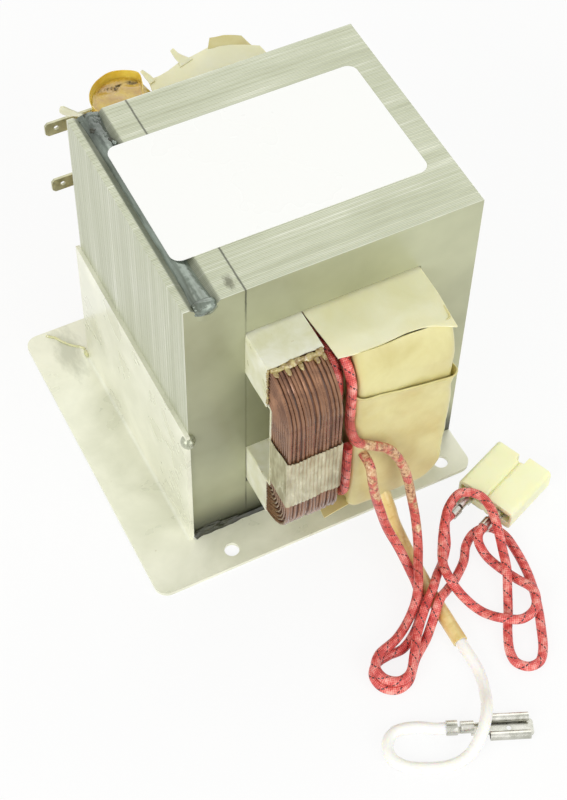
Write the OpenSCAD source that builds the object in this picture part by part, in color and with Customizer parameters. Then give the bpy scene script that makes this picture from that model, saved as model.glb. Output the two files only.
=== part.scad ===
// High voltage shell-type transformer with a horizontal centre leg.
// The coils sit side by side on the leg along X: primary, filament winding, secondary.
// Frame: +Z up, front of the core towards -Y, origin under the middle of the core,
// z = 0 at the underside of the base sheet. Millimetres.

/* [Core] */
// Width of an outer limb, half the width of the centre leg; it sets the lamination size
limb_w = 17.5; // [16:0.5:19]
// Depth of the lamination stack
stack_d = 75; // [60:1:76]
// Distance between the grooves that show the edges of the laminations
edge_pitch = 1.5; // [1.5:0.5:5]
// Depth of those grooves
edge_groove = 0.12; // [0.1:0.02:0.3]

/* [Base sheet] */
// Thickness of the steel sheet
sheet_t = 1.2; // [1:0.1:1.6]
// Depth of the sheet from front to back
sheet_d = 105; // [100:1:120]
// How far the sheet reaches past the left side of the core
strip_w = 17.5; // [14:0.5:24]
// Height of the side wall that is folded up from the sheet
wall_h = 53.5; // [30:0.5:70]
// Distance between the fixing holes from left to right
hole_dx = 71; // [60:1:76]
// Distance between the fixing holes from front to back
hole_dy = 94; // [92:1:98]
// Diameter of a fixing hole
hole_d = 4.5; // [3.5:0.1:5.5]

/* [Coils] */
// How far the primary winding stands out in front of the core
primary_out = 25; // [22:0.5:27]
// Number of wires side by side in one layer of the primary
primary_wires = 14; // [10:1:18]
// Number of its layers, as they show on its left side
primary_layers = 10; // [8:1:14]
// How thick those layers are at the front and rear; the rest of the loop stands off the core
primary_build = 10.5; // [8:0.5:13]
// Diameter of the filament wire over its braid
lead_d = 2.8; // [2.4:0.1:2.8]
// How far the secondary's paper stands out in front of the core
wrap_out = 21.9; // [21:0.1:22]
// Thickness of the insulating paper
paper_t = 0.5; // [0.3:0.1:0.6]

/* [Label] */
// Length of the blank label
label_w = 75.5; // [60:0.5:78]
// Width of the blank label
label_d = 44.5; // [30:0.5:60]

/* [High voltage lead] */
// Diameter of the high voltage lead
hv_d = 3.4; // [3:0.1:3.6]
// Diameter of the sleeve over its first stretch
sleeve_d = 4.4; // [4:0.1:4.6]

/* [Connector] */
// Length of the two-way housing
housing_l = 19.5; // [18:0.5:22]
// Width of the two-way housing
housing_w = 19; // [18:0.5:21]
// Height of the two-way housing
housing_h = 8; // [7.5:0.1:9]

/* [Hidden] */
$fn = 48;
eps = 0.01;

// Core, from the proportions of a no-waste lamination: 5 x 6 limbs with windows 3 x 1
core_w = 5 * limb_w;
core_h = 6 * limb_w;
core_x = core_w / 2;
core_y = stack_d / 2;
core_top = sheet_t + core_h;
seam_x = -core_x + limb_w;
window_x = 1.5 * limb_w;
leg_half = limb_w;
coil_z = sheet_t + core_h / 2;
window_top = coil_z + 2 * limb_w;
window_low = coil_z - 2 * limb_w;

// Weld beads in the end grooves of the I stack
weld_x = -core_x + 6.2;
notch_r = 5.3;
notch_rise = 3.2;
bead_r = 6.6;
bead_sink = 6.9;
bead_over = 1;
bead_end_r = 3.4;
bead_end_drop = 3.5;
foot_end_r = 5.5;
foot_end_out = 3.3;

// Base sheet
wall_x = -core_x;
bend_r = 1;
wall_y = core_y + 1;
sheet_left = -core_x - strip_w;
sheet_right = core_x;
sheet_r = 4;
fold_x = wall_x - sheet_t - bend_r;
window_end = fold_x + wall_h + 0.5;
tack_r = 2.2;

// Coils, as half sizes about the centre of the leg
former_t = 0.8;
former_r = 1;
primary_x0 = -window_x + 0.4;
primary_x1 = -9.7;
coil_in_y = core_y + former_t;
coil_in_z = leg_half + former_t;
primary_y = core_y + primary_out;
primary_z = 2 * limb_w - 1.4;
primary_in_y = primary_y - primary_build;
primary_r = 14;
wire_groove = 0.3;
layer_line = 0.02;
liner_out = 12.5;
liner_gap = 0.3;
tape_t = 0.3;
band_low = coil_z - 14;
band_high = coil_z + 6;

filament_x0 = -8.2;
filament_x1 = -5.3;
filament_y = core_y + 20.9;
filament_z = 2 * limb_w - 2.9;
filament_r = 10;
filament_deeper = 2.4;
filament_deepest = 4.9;

shunt_x0 = -3.2;
shunt_x1 = 2;
secondary_x0 = 2.4;
secondary_x1 = 25.2;
secondary_y = core_y + 20;
secondary_z = 2 * limb_w - 2.4;
secondary_r = 14;
wrap_x0 = -3.6;
wrap_x1 = window_x - 0.3;
wrap_y = core_y + wrap_out;
wrap_low = window_low;
wrap_top = coil_z + primary_z;
lower_paper_z = window_low + 0.2;
wrap_r = 2.5;
wrap_high_r = 4;
wrap_corner = 9;
step_x0 = -9.4;
step_y = filament_y - 6.7;
step_z = 25.3;
step_r = 6;

// Rear ends of the coils
tape_y = core_y + 29.5;
rear_wrap_x0 = 0.7;
rear_wrap_y = core_y + 26;
tuck_t = 1.2;
tuck_out = 3.5;
tab_x = -core_x + 0.6;
tab_w = 4.8;
tab_t = 0.8;
tab_y = core_y + 22.5;
tab_upper_z = coil_z + 27.5;
tab_lower_z = coil_z + 4;

// Connector and its two terminals
housing_at = [47.5, -64];
housing_turn = 22.5;
way = 5;
crimp_out_left = 10;
crimp_out_right = 7.2;
crimp_z = 4.8;
crimp_box = [9, 7.6, 2.9];
cavity_h = 3.4;

// Push-on terminal of the high voltage lead
receptacle_at = [-7.7, -125.6];
receptacle_turn = -23;
receptacle_l = 24.6;
receptacle_box = [11.3, 8, 2.6];
receptacle_tongue = 1.2;
receptacle_z = 2.15;

// Centre line of the left filament lead, from the end of its turn to its crimp
lead_left_path = [
    [-5.3, -58.4, 66], [-5.3, -58.4, 62], [-5.2, -59.3, 59], [-4.7, -61, 56.4], [-2.6, -61.6, 54],
    [0.4, -62.1, 52], [5.2, -62.6, 48], [9, -63.4, 41], [11.6, -64.4, 32],
    [13, -65.8, 22.5], [13.6, -68.6, 13.5], [11.8, -73.8, 9.2], [8.8, -79.4, 8],
    [6, -84.6, 7.9], [2.8, -88.8, 5.8], [-1.4, -92.2, 3.6], [-7.4, -96, 4],
    [-14.4, -98.4, 4.2], [-16.9, -101.5, 4.2], [-16.3, -105.5, 4.2], [-13.1, -108, 4.2],
    [-9.2, -107.4, 4.2], [-5, -102.4, 4.2], [-0.6, -96.6, 4.2], [4.6, -91.4, 5.6],
    [9.5, -87.2, 6.2], [13.4, -83, 4.4], [18, -78.6, 1.8], [22, -73.8, 2],
    [23.3, -70.6, 4], [25, -67.91, 4.8], [27.34, -66.94, 4.8]];

// Centre line of the right filament lead, from the paper to its crimp
lead_right_path = [
    [-1.2, -59.9, 46.5], [-1.2, -62.4, 46.5], [-1.3, -64.8, 45.6], [-1.4, -66, 43], [-0.6, -66.8, 36],
    [1.6, -67.2, 26], [4, -68.6, 16], [6.4, -72.4, 8.6], [7, -78, 5], [6.4, -84, 4],
    [4.2, -90, 2], [-0.4, -95, 1.4], [-6.4, -98.4, 1.4], [-11, -98.4, 1.4],
    [-15.4, -99.3, 1.4], [-17.9, -102.4, 1.4], [-17.3, -106.4, 1.4], [-14.1, -108.9, 1.4],
    [-10.2, -108.3, 1.4], [-4.6, -102.8, 1.4], [1.2, -98.6, 1.4], [5.2, -95.2, 4],
    [9.6, -91.2, 6.4], [13.6, -88.4, 3.8], [19, -84.8, 1.4], [24, -80.8, 1.4],
    [27.4, -76.4, 1.4], [31.6, -73.8, 1.4], [36.4, -74, 1.4], [39.2, -78, 1.4],
    [39.6, -85, 1.4], [38.6, -93.5, 1.4], [36, -102.5, 1.4], [32.8, -110, 1.4],
    [29.3, -116.7, 1.4], [26.6, -119.2, 1.4], [23.1, -119.1, 1.4], [20.6, -116.4, 1.4],
    [20.7, -112.9, 1.4], [23.4, -107, 1.4], [26.8, -101.6, 1.4], [29.8, -96, 2.6],
    [32.6, -90.4, 4.7], [34.8, -84.4, 4.8], [36.4, -78, 7.4], [37.6, -72, 8.4],
    [36.8, -66.4, 8.4], [32.4, -63.4, 8.4], [27, -65.8, 8.4], [23.2, -69.8, 7.4],
    [19.4, -75.4, 5.7], [16.4, -81, 6.1], [15.2, -87, 7], [16.8, -92.6, 4.2],
    [20, -98, 1.8], [23.4, -103.6, 4.2], [28.4, -106.4, 4.4], [33.6, -104.8, 4.4],
    [36.2, -99.6, 4.3], [34.5, -93.2, 2.2], [32.4, -87.6, 1.4], [30.6, -82.4, 2],
    [30.2, -78.4, 3.9], [31.1, -76.6, 4.6], [32.2, -75.75, 4.8], [33.75, -75.1, 4.8]];

// Centre line of the sleeve from under the secondary to its cut end
sleeve_path = [
    [7.6, -58.31, 19.79], [7.7, -60.2, 17.8], [8.3, -62, 14], [8.8, -63.8, 9.6],
    [9.7, -67.2, 5], [10.1, -72.6, 2.2], [9.7, -80, 2.2], [9.4, -88, 2.2], [9.4, -96, 2.2],
    [9.4, -104, 2.2]];

// Centre line of the bare lead from the sleeve to its push-on terminal
hv_path = [
    [9.4, -104, 2.2], [9.4, -107, 2.2], [9.6, -111, 1.8], [9.3, -115.2, 1.7], [7.6, -120.6, 2.6],
    [4.2, -127, 5.4], [-0.8, -132.6, 5.2], [-6.4, -135.6, 2.6], [-12.6, -135.6, 1.7],
    [-18.8, -133.2, 1.7], [-23, -130.6, 1.7], [-25.4, -126.8, 1.7], [-24.6, -122.6, 1.7],
    [-21, -120.2, 1.7], [-15.2, -121.4, 1.7], [-10.5, -124.41, 2.15], [-7.7, -125.6, 2.15]];

steel = "#8c9188";
dark_steel = "#4d5350";
cream = "#e9dfae";
white_paper = "#ece6d0";
copper = "#7d4a3c";
red = "#c8443c";
amber = "#d9b84c";
tin = "#c4c6c2";

// Extrudes a profile drawn as (y, z) from x0 to x1.
module along_x(x0, x1) {
    translate([x0, 0, 0]) rotate([90, 0, 90]) linear_extrude(x1 - x0) children();
}

// Extrudes a profile drawn as (x, z) from y0 to y1.
module along_y(y0, y1) {
    translate([0, y1, 0]) rotate([90, 0, 0]) linear_extrude(y1 - y0) children();
}

// Extrudes a profile drawn as (x, y) from z0 to z1.
module along_z(z0, z1) {
    translate([0, 0, z0]) linear_extrude(z1 - z0) children();
}

// A box between two opposite corners.
module block(low, high) {
    translate(low) cube(high - low);
}

// A rectangle between two corners with round corners of radius r.
module rounded(low, high, r) {
    translate(low + [r, 0]) square([high.x - low.x - 2 * r, high.y - low.y]);
    translate(low + [0, r]) square([high.x - low.x, high.y - low.y - 2 * r]);
    for (x = [low.x + r, high.x - r], y = [low.y + r, high.y - r])
        translate([x, y]) circle(r);
}

// A rounded rectangle about the centre of the leg, as (y, z).
module coil_outline(half_y, half_z, r) {
    rounded([-half_y, coil_z - half_z], [half_y, coil_z + half_z], r);
}

// Points of a toothed edge: one tooth for each group of laminations, with V grooves between.
function toothed(n, pitch, level, groove) = [
    for (i = [0:n - 1]) each [
        [-n * pitch / 2 + i * pitch + (i == 0 ? 0 : groove), level],
        [-n * pitch / 2 + (i + 1) * pitch - (i == n - 1 ? 0 : groove), level],
        if (i < n - 1) [-n * pitch / 2 + (i + 1) * pitch, level - groove]]];

edge_n = round(stack_d / edge_pitch);
true_pitch = stack_d / edge_n;

// The stack seen from the side, as (y, z), with the lamination edges on top.
module stack_side() {
    polygon(concat(
        toothed(edge_n, true_pitch, core_top, edge_groove),
        [[core_y, sheet_t], [-core_y, sheet_t]]));
}

// The stack seen from above, as (x, y): teeth at x = reach, a plain edge at x = plain.
module stack_top(reach, plain) {
    side = reach > plain ? 1 : -1;
    teeth = toothed(edge_n, true_pitch, side * reach, edge_groove);
    polygon(concat([for (p = teeth) [side * p.y, p.x]], [[plain, core_y], [plain, -core_y]]));
}

// The bead and the groove that holds it, running through the stack at one end of the I.
module weld_channel(end_z, up, r) {
    along_y(-core_y - 1, core_y + 1)
        translate([weld_x, end_z + up * notch_rise]) circle(r);
}

module bead_profile(end_z, up) {
    intersection() {
        translate([weld_x, end_z + up * notch_rise]) circle(notch_r);
        translate([weld_x, end_z - up * bead_sink]) circle(bead_r);
    }
}

// The round end of a bead where the arc was stopped, on the front or rear face.
module bead_end(end_z, up, side) {
    if (up > 0)
        translate([weld_x, side * (core_y + bead_over - bead_end_r), end_z - bead_end_drop])
            sphere(r = bead_end_r);
    else
        translate([weld_x, side * (core_y + foot_end_out - foot_end_r), end_z])
            sphere(r = foot_end_r);
}

module e_core() {
    color(steel) difference() {
        intersection() {
            along_x(seam_x, core_x) stack_side();
            along_z(sheet_t, core_top) stack_top(core_x, seam_x);
        }
        block([-window_x - 1, -core_y - 1, leg_half + coil_z],
              [window_x, core_y + 1, window_top]);
        block([-window_x - 1, -core_y - 1, window_low],
              [window_x, core_y + 1, coil_z - leg_half]);
    }
}

module i_core() {
    color(steel) difference() {
        intersection() {
            along_x(-core_x, seam_x) stack_side();
            along_z(sheet_t, core_top) stack_top(-core_x, seam_x);
        }
        weld_channel(core_top, 1, notch_r);
        weld_channel(sheet_t, -1, notch_r);
        for (side = [-1, 1]) {
            bead_end(core_top, 1, side);
            bead_end(sheet_t, -1, side);
        }
    }
}

module weld_bead(end_z, up) {
    color(dark_steel) {
        along_y(-core_y - bead_over / 2, core_y + bead_over / 2) bead_profile(end_z, up);
        for (side = [-1, 1]) bead_end(end_z, up, side);
    }
}

module top_weld_bead() {
    weld_bead(core_top, 1);
}

// The lower bead is cut level with the underside of the core, which stands on the sheet.
module bottom_weld_bead() {
    intersection() {
        weld_bead(sheet_t, -1);
        block([-core_x, -core_y - 5, sheet_t], [seam_x, core_y + 5, core_h]);
    }
}

module base_plate() {
    color(steel) difference() {
        union() {
            along_z(0, sheet_t)
                rounded([sheet_left, -sheet_d / 2], [sheet_right, sheet_d / 2], sheet_r);
            along_y(-wall_y, wall_y) translate([wall_x - sheet_t, sheet_t + bend_r])
                square([sheet_t, wall_h - sheet_t - bend_r]);
        }
        block([fold_x, -wall_y, -1], [window_end, wall_y, sheet_t + eps]);
        for (x = [-1, 1], y = [-1, 1])
            translate([x * hole_dx / 2, y * hole_dy / 2, -1]) cylinder(d = hole_d, h = 9);
    }
    color(steel) along_y(-wall_y, wall_y) intersection() {
        difference() {
            translate([fold_x, sheet_t + bend_r]) circle(sheet_t + bend_r);
            translate([fold_x, sheet_t + bend_r]) circle(bend_r);
        }
        translate([fold_x, 0]) square(sheet_t + bend_r);
    }
}

// Spot of weld that holds the front edge of the side wall to the core.
module wall_tack_weld() {
    color(dark_steel) intersection() {
        translate([wall_x - 0.2, -core_y - 0.2, wall_h - 3]) sphere(r = tack_r);
        difference() {
            block([wall_x - 4, -core_y - 4, wall_h - 8], [wall_x + 4, core_y, wall_h + 2]);
            block([wall_x, -core_y, 0], [seam_x, core_y, core_top]);
            block([wall_x - sheet_t, -wall_y, 0], [wall_x, wall_y, wall_h]);
        }
    }
}

module label_panel() {
    label_x = -1.2;
    label_y = 0.6;
    label_t = 0.15;
    color("white") along_z(core_top, core_top + label_t) rounded(
        [label_x - label_w / 2, label_y - label_d / 2],
        [label_x + label_w / 2, label_y + label_d / 2], 3);
}

// A pack of small laminations that leaks flux between leg and yoke, upright in a window.
module shunt(z0, z1) {
    color(dark_steel) block([shunt_x0, -core_y, z0], [shunt_x1, core_y, z1]);
}

module shunt_upper() {
    shunt(coil_z + leg_half, wrap_top);
}

module shunt_lower() {
    shunt(lower_paper_z + paper_t, coil_z - leg_half - former_t);
}

// Fibre former that lies on the centre leg; half_y is half its depth.
module former(x0, x1, half_y) {
    color(white_paper) along_x(x0, x1) difference() {
        coil_outline(half_y, coil_in_z, former_r);
        coil_outline(half_y - former_t, leg_half, eps);
    }
}

// The primary's former is deeper than the core, so its loops stand off the front and rear.
module primary_sleeve() {
    former(primary_x0, primary_x1, primary_in_y);
}

module secondary_sleeve() {
    former(secondary_x0, secondary_x1, coil_in_y);
}

// Outline of the primary at a share t of the way from its first layer to its last.
module primary_layer(t) {
    coil_outline(
        primary_in_y + t * primary_build,
        coil_in_z + t * (primary_z - coil_in_z),
        former_r + t * (primary_r - former_r));
}

module primary_winding() {
    pitch = (primary_x1 - primary_x0) / primary_wires;
    color(copper) difference() {
        along_x(primary_x0, primary_x1) difference() {
            primary_layer(1);
            primary_layer(0);
        }
        for (i = [1:primary_wires - 1])
            along_x(primary_x0 + i * pitch - wire_groove / 2,
                    primary_x0 + i * pitch + wire_groove / 2) difference() {
                coil_outline(primary_y + 1, primary_z + 1, primary_r);
                coil_outline(primary_y - wire_groove, primary_z - wire_groove, primary_r);
            }
        along_x(primary_x0 - 1, primary_x0 + wire_groove) for (i = [1:primary_layers - 1])
            difference() {
                primary_layer(i / primary_layers);
                primary_layer(i / primary_layers - layer_line);
            }
    }
}

// Paper channel between a coil and the window, open towards the leg.
module primary_liner_upper() {
    top = coil_z + primary_z;
    color(white_paper) {
        block([-window_x, -core_y - liner_out, top],
              [primary_x1, core_y + liner_out, top + paper_t]);
        block([-window_x, -core_y - liner_out, coil_z + leg_half + liner_gap],
              [primary_x0, core_y + liner_out, top + eps]);
        along_z(top, top + paper_t) polygon([
            [-window_x + 1, core_y + 10], [-33, core_y + 18.6], [-36.6, core_y + 21.6],
            [-32, core_y + 21.2], [-window_x + 1, core_y + 15]]);
    }
}

module primary_liner_lower() {
    low = coil_z - primary_z;
    color(white_paper) {
        block([-window_x, -core_y - liner_out, low - paper_t],
              [primary_x1, core_y + liner_out, low]);
        block([-window_x, -core_y - liner_out, low - eps],
              [primary_x0, core_y + liner_out, coil_z - leg_half - liner_gap]);
    }
}

// Band of tape round the front of the primary.
module primary_tape_band() {
    color("#d8d2bc") intersection() {
        difference() {
            along_x(primary_x0 - tape_t, primary_x1 + 0.1)
                coil_outline(primary_y + tape_t, primary_z + tape_t, primary_r + tape_t);
            along_x(primary_x0, primary_x1) coil_outline(primary_y, primary_z, primary_r);
        }
        block([primary_x0 - 1, -primary_y - 1, band_low],
              [primary_x1 + 1, -primary_in_y, band_high]);
    }
}

// Amber tape over the rear end of the primary; it also holds the roots of the two tabs.
module primary_rear_tape() {
    color(amber) difference() {
        union() {
            along_x(primary_x0 - 1.6, primary_x1 + 0.1)
                coil_outline(primary_y + 0.5, primary_z + 0.5, primary_r);
            intersection() {
                along_x(primary_x0 - 5, primary_x1)
                    coil_outline(tape_y, primary_z + 1.4, 8);
                along_z(0, core_top) polygon([
                    [-27.4, core_y], [-29.6, 56], [-27.1, 61.9], [-23.6, 65.6], [-19.3, 67],
                    [-15.2, 65.6], [-12, 61.6], [-10.6, 55], [-10.6, core_y]]);
            }
        }
        block([-core_x, -primary_y - 9, 0], [core_x, core_y + 1, core_top]);
        along_x(primary_x0, primary_x1) coil_outline(primary_y, primary_z, primary_r);
        block([primary_x0 - 3, core_y, coil_z - 13], [primary_x1 + 1, core_y + 7, coil_z + 13]);
        primary_liner_upper();
        primary_liner_lower();
        tab(tab_upper_z);
        tab(tab_lower_z);
    }
}

// Flat male tab that points left, with a locking hole and a chamfered tip.
module tab(z) {
    chamfer = 0.9;
    color(tin) difference() {
        along_y(tab_y - tab_t / 2, tab_y + tab_t / 2) polygon([
            [tab_x, z - tab_w / 2 + chamfer], [tab_x + chamfer, z - tab_w / 2],
            [primary_x0, z - tab_w / 2], [primary_x0, z + tab_w / 2],
            [tab_x + chamfer, z + tab_w / 2], [tab_x, z + tab_w / 2 - chamfer]]);
        translate([tab_x + 3.4, tab_y, z]) rotate([90, 0, 0])
            cylinder(d = 1.6, h = 3, center = true);
    }
}

module tab_terminal_upper() {
    tab(tab_upper_z);
}

module tab_terminal_lower() {
    tab(tab_lower_z);
}

// One turn of round wire at x about the leg, with the front run open from z0 to z1.
module wire_turn(x, half_y, half_z, r, gap_z0, gap_z1) {
    translate([x, 0, coil_z]) {
        for (y = [-1, 1], z = [-1, 1]) translate([0, y * (half_y - r), z * (half_z - r)])
            rotate([90, 0, 90]) rotate(y > 0 ? (z > 0 ? 0 : -90) : (z > 0 ? 90 : 180))
                rotate_extrude(angle = 90) translate([r, 0]) circle(d = lead_d, $fn = 24);
        for (z = [-1, 1]) translate([0, -(half_y - r), z * half_z]) rotate([-90, 0, 0])
            cylinder(d = lead_d, h = 2 * (half_y - r), $fn = 24);
        translate([0, half_y, -(half_z - r)])
            cylinder(d = lead_d, h = 2 * (half_z - r), $fn = 24);
    }
    low = coil_z - half_z + r;
    high = coil_z + half_z - r;
    translate([x, -half_y, low]) cylinder(d = lead_d, h = gap_z0 - low, $fn = 24);
    translate([x, -half_y, gap_z1]) cylinder(d = lead_d, h = high - gap_z1, $fn = 24);
}

// A closed turn that lies deeper than the open one by the given amount.
module inner_turn(x, deeper) {
    wire_turn(x, filament_y - deeper, filament_z - deeper, filament_r - deeper, coil_z, coil_z);
}

// Three turns of braided wire between the coils; the outer one is open for the two leads.
module filament_winding() {
    color(red) {
        wire_turn(filament_x1, filament_y, filament_z, filament_r, 44, 66);
        inner_turn(filament_x0, filament_deeper);
        inner_turn((filament_x0 + filament_x1) / 2, filament_deepest);
    }
}

// Outside the core its lower right corner is round, as its paper is.
module secondary_winding() {
    color(copper) intersection() {
        along_x(secondary_x0, secondary_x1) difference() {
            coil_outline(secondary_y, secondary_z, secondary_r);
            coil_outline(coil_in_y, coil_in_z, former_r);
        }
        union() {
            block([0, -core_y, 0], [core_x, core_y, core_top]);
            along_y(-secondary_y - 1, secondary_y + 1) wrap_front(0, -paper_t - eps);
        }
    }
}

// Upper slot paper of the secondary; it reaches out as a flap in front and behind.
module secondary_liner_upper() {
    top = coil_z + primary_z;
    color(cream) {
        along_z(top, top + paper_t) polygon([
            [step_x0, -core_y], [-8, -54.6], [-4, -55.2], [4, -55.4], [12, -55], [16, -55.4],
            [19, -56.1], [22.5, -57.4], [25.7, -58.3],
            [window_x - 0.1, -core_y], [window_x - 0.1, core_y],
            [25.8, 58.8], [23.5, 60], [11, 63.8], [-8, 63.2], [-9.5, 62.8], [step_x0, core_y]]);
        block([wrap_x1 - liner_gap, -core_y, coil_z + leg_half + liner_gap],
              [window_x - 0.1, core_y, top + eps]);
    }
}

module secondary_liner_lower() {
    low = lower_paper_z;
    color(cream) {
        block([wrap_x0, -core_y, low], [window_x - 0.1, core_y, low + paper_t]);
        block([wrap_x1 - liner_gap, -core_y, low + eps],
              [window_x - 0.1, core_y, coil_z - leg_half - liner_gap]);
    }
}

// Side view of a paper wrap that leaves the core face at y = core_y and ends at y = reach.
module wrap_side(reach, low, high, r_low, r_high) {
    translate([core_y, low]) square([reach - core_y - r_low, r_low]);
    translate([core_y, low + r_low]) square([reach - core_y, high - low - r_low - r_high]);
    translate([core_y, high - r_high]) square([reach - core_y - r_high, r_high]);
    translate([reach - r_low, low + r_low]) circle(r_low);
    translate([reach - r_high, high - r_high]) circle(r_high);
}

// Front view of a wrap grown outwards by t, as (x, z), with a soft lower right corner.
module wrap_front(x0, t) {
    low = wrap_low - t;
    right = wrap_x1 + t;
    r = wrap_corner + t;
    translate([x0 - t, low]) square([right - r - x0 + t, wrap_top + t - low]);
    translate([x0 - t, low + r]) square([right - x0 + t, wrap_top + t - low - r]);
    translate([right - r, low + r]) circle(r);
}

// The room inside a wrap from x0 to its right end, grown outwards by t.
module wrap_body(x0, reach, r_low, r_high, t) {
    intersection() {
        along_x(x0 - t, wrap_x1 + t)
            wrap_side(reach + t, wrap_low - t, wrap_top + t, r_low + t, r_high + t);
        along_y(core_y - 1, reach + 2) wrap_front(x0, t);
    }
}

// Paper wrapped round the end of the secondary, with a step that carries the filament turns.
module end_wrap(x0, reach, r_low, r_high) {
    step_low = coil_z - step_z;
    step_high = coil_z + step_z;
    difference() {
        union() {
            wrap_body(x0, reach, r_low, r_high, 0);
            along_x(step_x0, x0 + eps) wrap_side(step_y, step_low, step_high, step_r, step_r);
        }
        wrap_body(x0, reach, r_low, r_high, -paper_t);
        along_x(step_x0 + paper_t, x0 + 1) wrap_side(
            step_y - paper_t, step_low + paper_t, step_high - paper_t,
            step_r - paper_t, step_r - paper_t);
    }
}

// The hole in the paper through which the sleeve comes out, square to the lower bend.
module sleeve_hole() {
    translate([sleeve_path[0].x, -wrap_y + wrap_r, wrap_low + wrap_r]) rotate([135, 0, 0])
        cylinder(d = sleeve_d + 0.1, h = 12);
}

module secondary_front_wrap() {
    color(cream) difference() {
        mirror([0, 1, 0]) end_wrap(wrap_x0, wrap_y, wrap_r, wrap_high_r);
        sleeve_hole();
    }
}

// Second sheet, laid over the front from below; its upper edge runs down to the right
// and its lower left corner reaches under the filament turns.
module secondary_front_sheet() {
    low = wrap_low - paper_t;
    color(cream) difference() {
        union() {
            intersection() {
                mirror([0, 1, 0]) wrap_body(wrap_x0, wrap_y, wrap_r, wrap_high_r, paper_t);
                along_y(-wrap_y - 3, -core_y) polygon([
                    [wrap_x0, 0], [window_x + 1, 0], [window_x + 1, coil_z + 13],
                    [wrap_x0, coil_z + 19.5]]);
            }
            along_z(low, wrap_low) polygon([
                [wrap_x0 + 1, -core_y], [step_x0, -core_y - 2], [-11.4, -58.4],
                [-5, -58.4], [wrap_x0 + 1, -57.5]]);
        }
        mirror([0, 1, 0]) wrap_body(wrap_x0, wrap_y, wrap_r, wrap_high_r, 0);
        sleeve_hole();
    }
}

// The tucked-in end of this wrap stands out behind it.
module secondary_rear_wrap() {
    color(cream) {
        end_wrap(rear_wrap_x0, rear_wrap_y, 10, 6);
        block([11, rear_wrap_y - 7, wrap_top - tuck_t], [23, rear_wrap_y + tuck_out, wrap_top]);
    }
}

// Points of a tube of diameter d swept along a route: rings square to the mean direction.
function unit(v) = v / norm(v);
function heading(path, i) = unit(
    (i == len(path) - 1 ? [0, 0, 0] : unit(path[i + 1] - path[i])) +
    (i == 0 ? [0, 0, 0] : unit(path[i] - path[i - 1])));
function side_of(t) = unit(cross(abs(t.z) > 0.9 ? [1, 0, 0] : [0, 0, 1], t));
function carried(path, i) = i == 0 ? side_of(heading(path, 0)) :
    let (t = heading(path, i), s = carried(path, i - 1)) unit(s - (s * t) * t);

// A cord as one closed solid with flat ends, sides faces round and a ring at each point.
module cord(path, d, sides) {
    n = len(path);
    rings = [for (i = [0:n - 1]) let (t = heading(path, i), s = carried(path, i), u = cross(t, s))
        for (k = [0:sides - 1]) path[i] + d / 2 * (cos(360 * k / sides) * s +
                                                  sin(360 * k / sides) * u)];
    walls = [for (i = [0:n - 2], k = [0:sides - 1])
        [i * sides + k, i * sides + (k + 1) % sides,
         (i + 1) * sides + (k + 1) % sides, (i + 1) * sides + k]];
    halves = [for (w = walls) each [[w[0], w[2], w[1]], [w[0], w[3], w[2]]]];
    caps = [[for (k = [0:sides - 1]) k], [for (k = [sides - 1:-1:0]) (n - 1) * sides + k]];
    polyhedron(points = rings, faces = concat(halves, caps));
}

module filament_lead_left() {
    color(red) cord(lead_left_path, lead_d, 8);
}

module filament_lead_right() {
    color(red) cord(lead_right_path, lead_d, 8);
}

module hv_sleeve() {
    color("#e6d98c") cord(sleeve_path, sleeve_d, 8);
}

module hv_lead() {
    color("#f0efe6") cord(hv_path, hv_d, 8);
}

// A barrel closed round its wire: a round back with the two wings rolled in to a seam.
module crimp_barrel(x0, x1, d) {
    along_x(x0, x1) difference() {
        circle(d = d);
        translate([0, d / 2 + d * 0.12]) rotate(45) square(d * 0.3, center = true);
    }
}

// Floor and two rolled sides of a push-on box, as (y, z) about the axis of the barrels.
module rolled_box(w, h, t) {
    low = -h / 2;
    translate([-w / 2 + h / 2, low]) square([w - h, t]);
    for (side = [-1, 1]) translate([side * (w - h) / 2, 0]) difference() {
        circle(h / 2);
        circle(h / 2 - t);
        translate([side > 0 ? -h : 0, -h / 2 + t]) square([h, h / 2 - t]);
    }
}

// Push-on terminal along +X from its tail, with two crimps, a neck and the rolled box.
module push_on(l, box, wire_d, tongue) {
    t = 0.4;
    low = -(wire_d + 0.9) / 2;
    neck = l - box.x - tongue;
    color(tin) {
        crimp_barrel(0, 3, wire_d + 0.9);
        crimp_barrel(4, 7.6, wire_d + 0.1);
        block([2.5, -0.9, low], [4.5, 0.9, low + 0.8]);
        difference() {
            block([7, -wire_d / 2, low], [neck + 0.5, wire_d / 2, low + 1.2]);
            block([7.6, -wire_d / 2 + t, low + t], [neck + 1, wire_d / 2 - t, low + 2]);
        }
        difference() {
            along_x(neck, neck + box.x) translate([0, low + box.z / 2])
                rolled_box(box.y, box.z, t);
            translate([neck + box.x / 2, 0, low - 1]) cylinder(d = 1.4, h = 3);
        }
        if (tongue > 0) along_z(low, low + t) polygon([
            [l - tongue - 1, -box.y / 2 + box.z / 2], [l - 0.4, -box.y / 2 + box.z / 2 + 0.3],
            [l, -box.y / 2 + box.z / 2 + 0.9], [l, box.y / 2 - box.z / 2 - 0.9],
            [l - 0.4, box.y / 2 - box.z / 2 - 0.3], [l - tongue - 1, box.y / 2 - box.z / 2]]);
    }
}

// Places a child drawn along +X at one way of the housing, from the tail of its terminal.
module at_way(side, out) {
    translate([housing_at.x, housing_at.y, crimp_z]) rotate(housing_turn)
        translate([-housing_l / 2 - out, side * way, 0]) children();
}

module crimp_terminal_left() {
    at_way(1, crimp_out_left)
        push_on(crimp_out_left + housing_l - 2.5, crimp_box, lead_d, 0);
}

module crimp_terminal_right() {
    at_way(-1, crimp_out_right)
        push_on(crimp_out_right + housing_l - 2.5, crimp_box, lead_d, 0);
}

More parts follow.
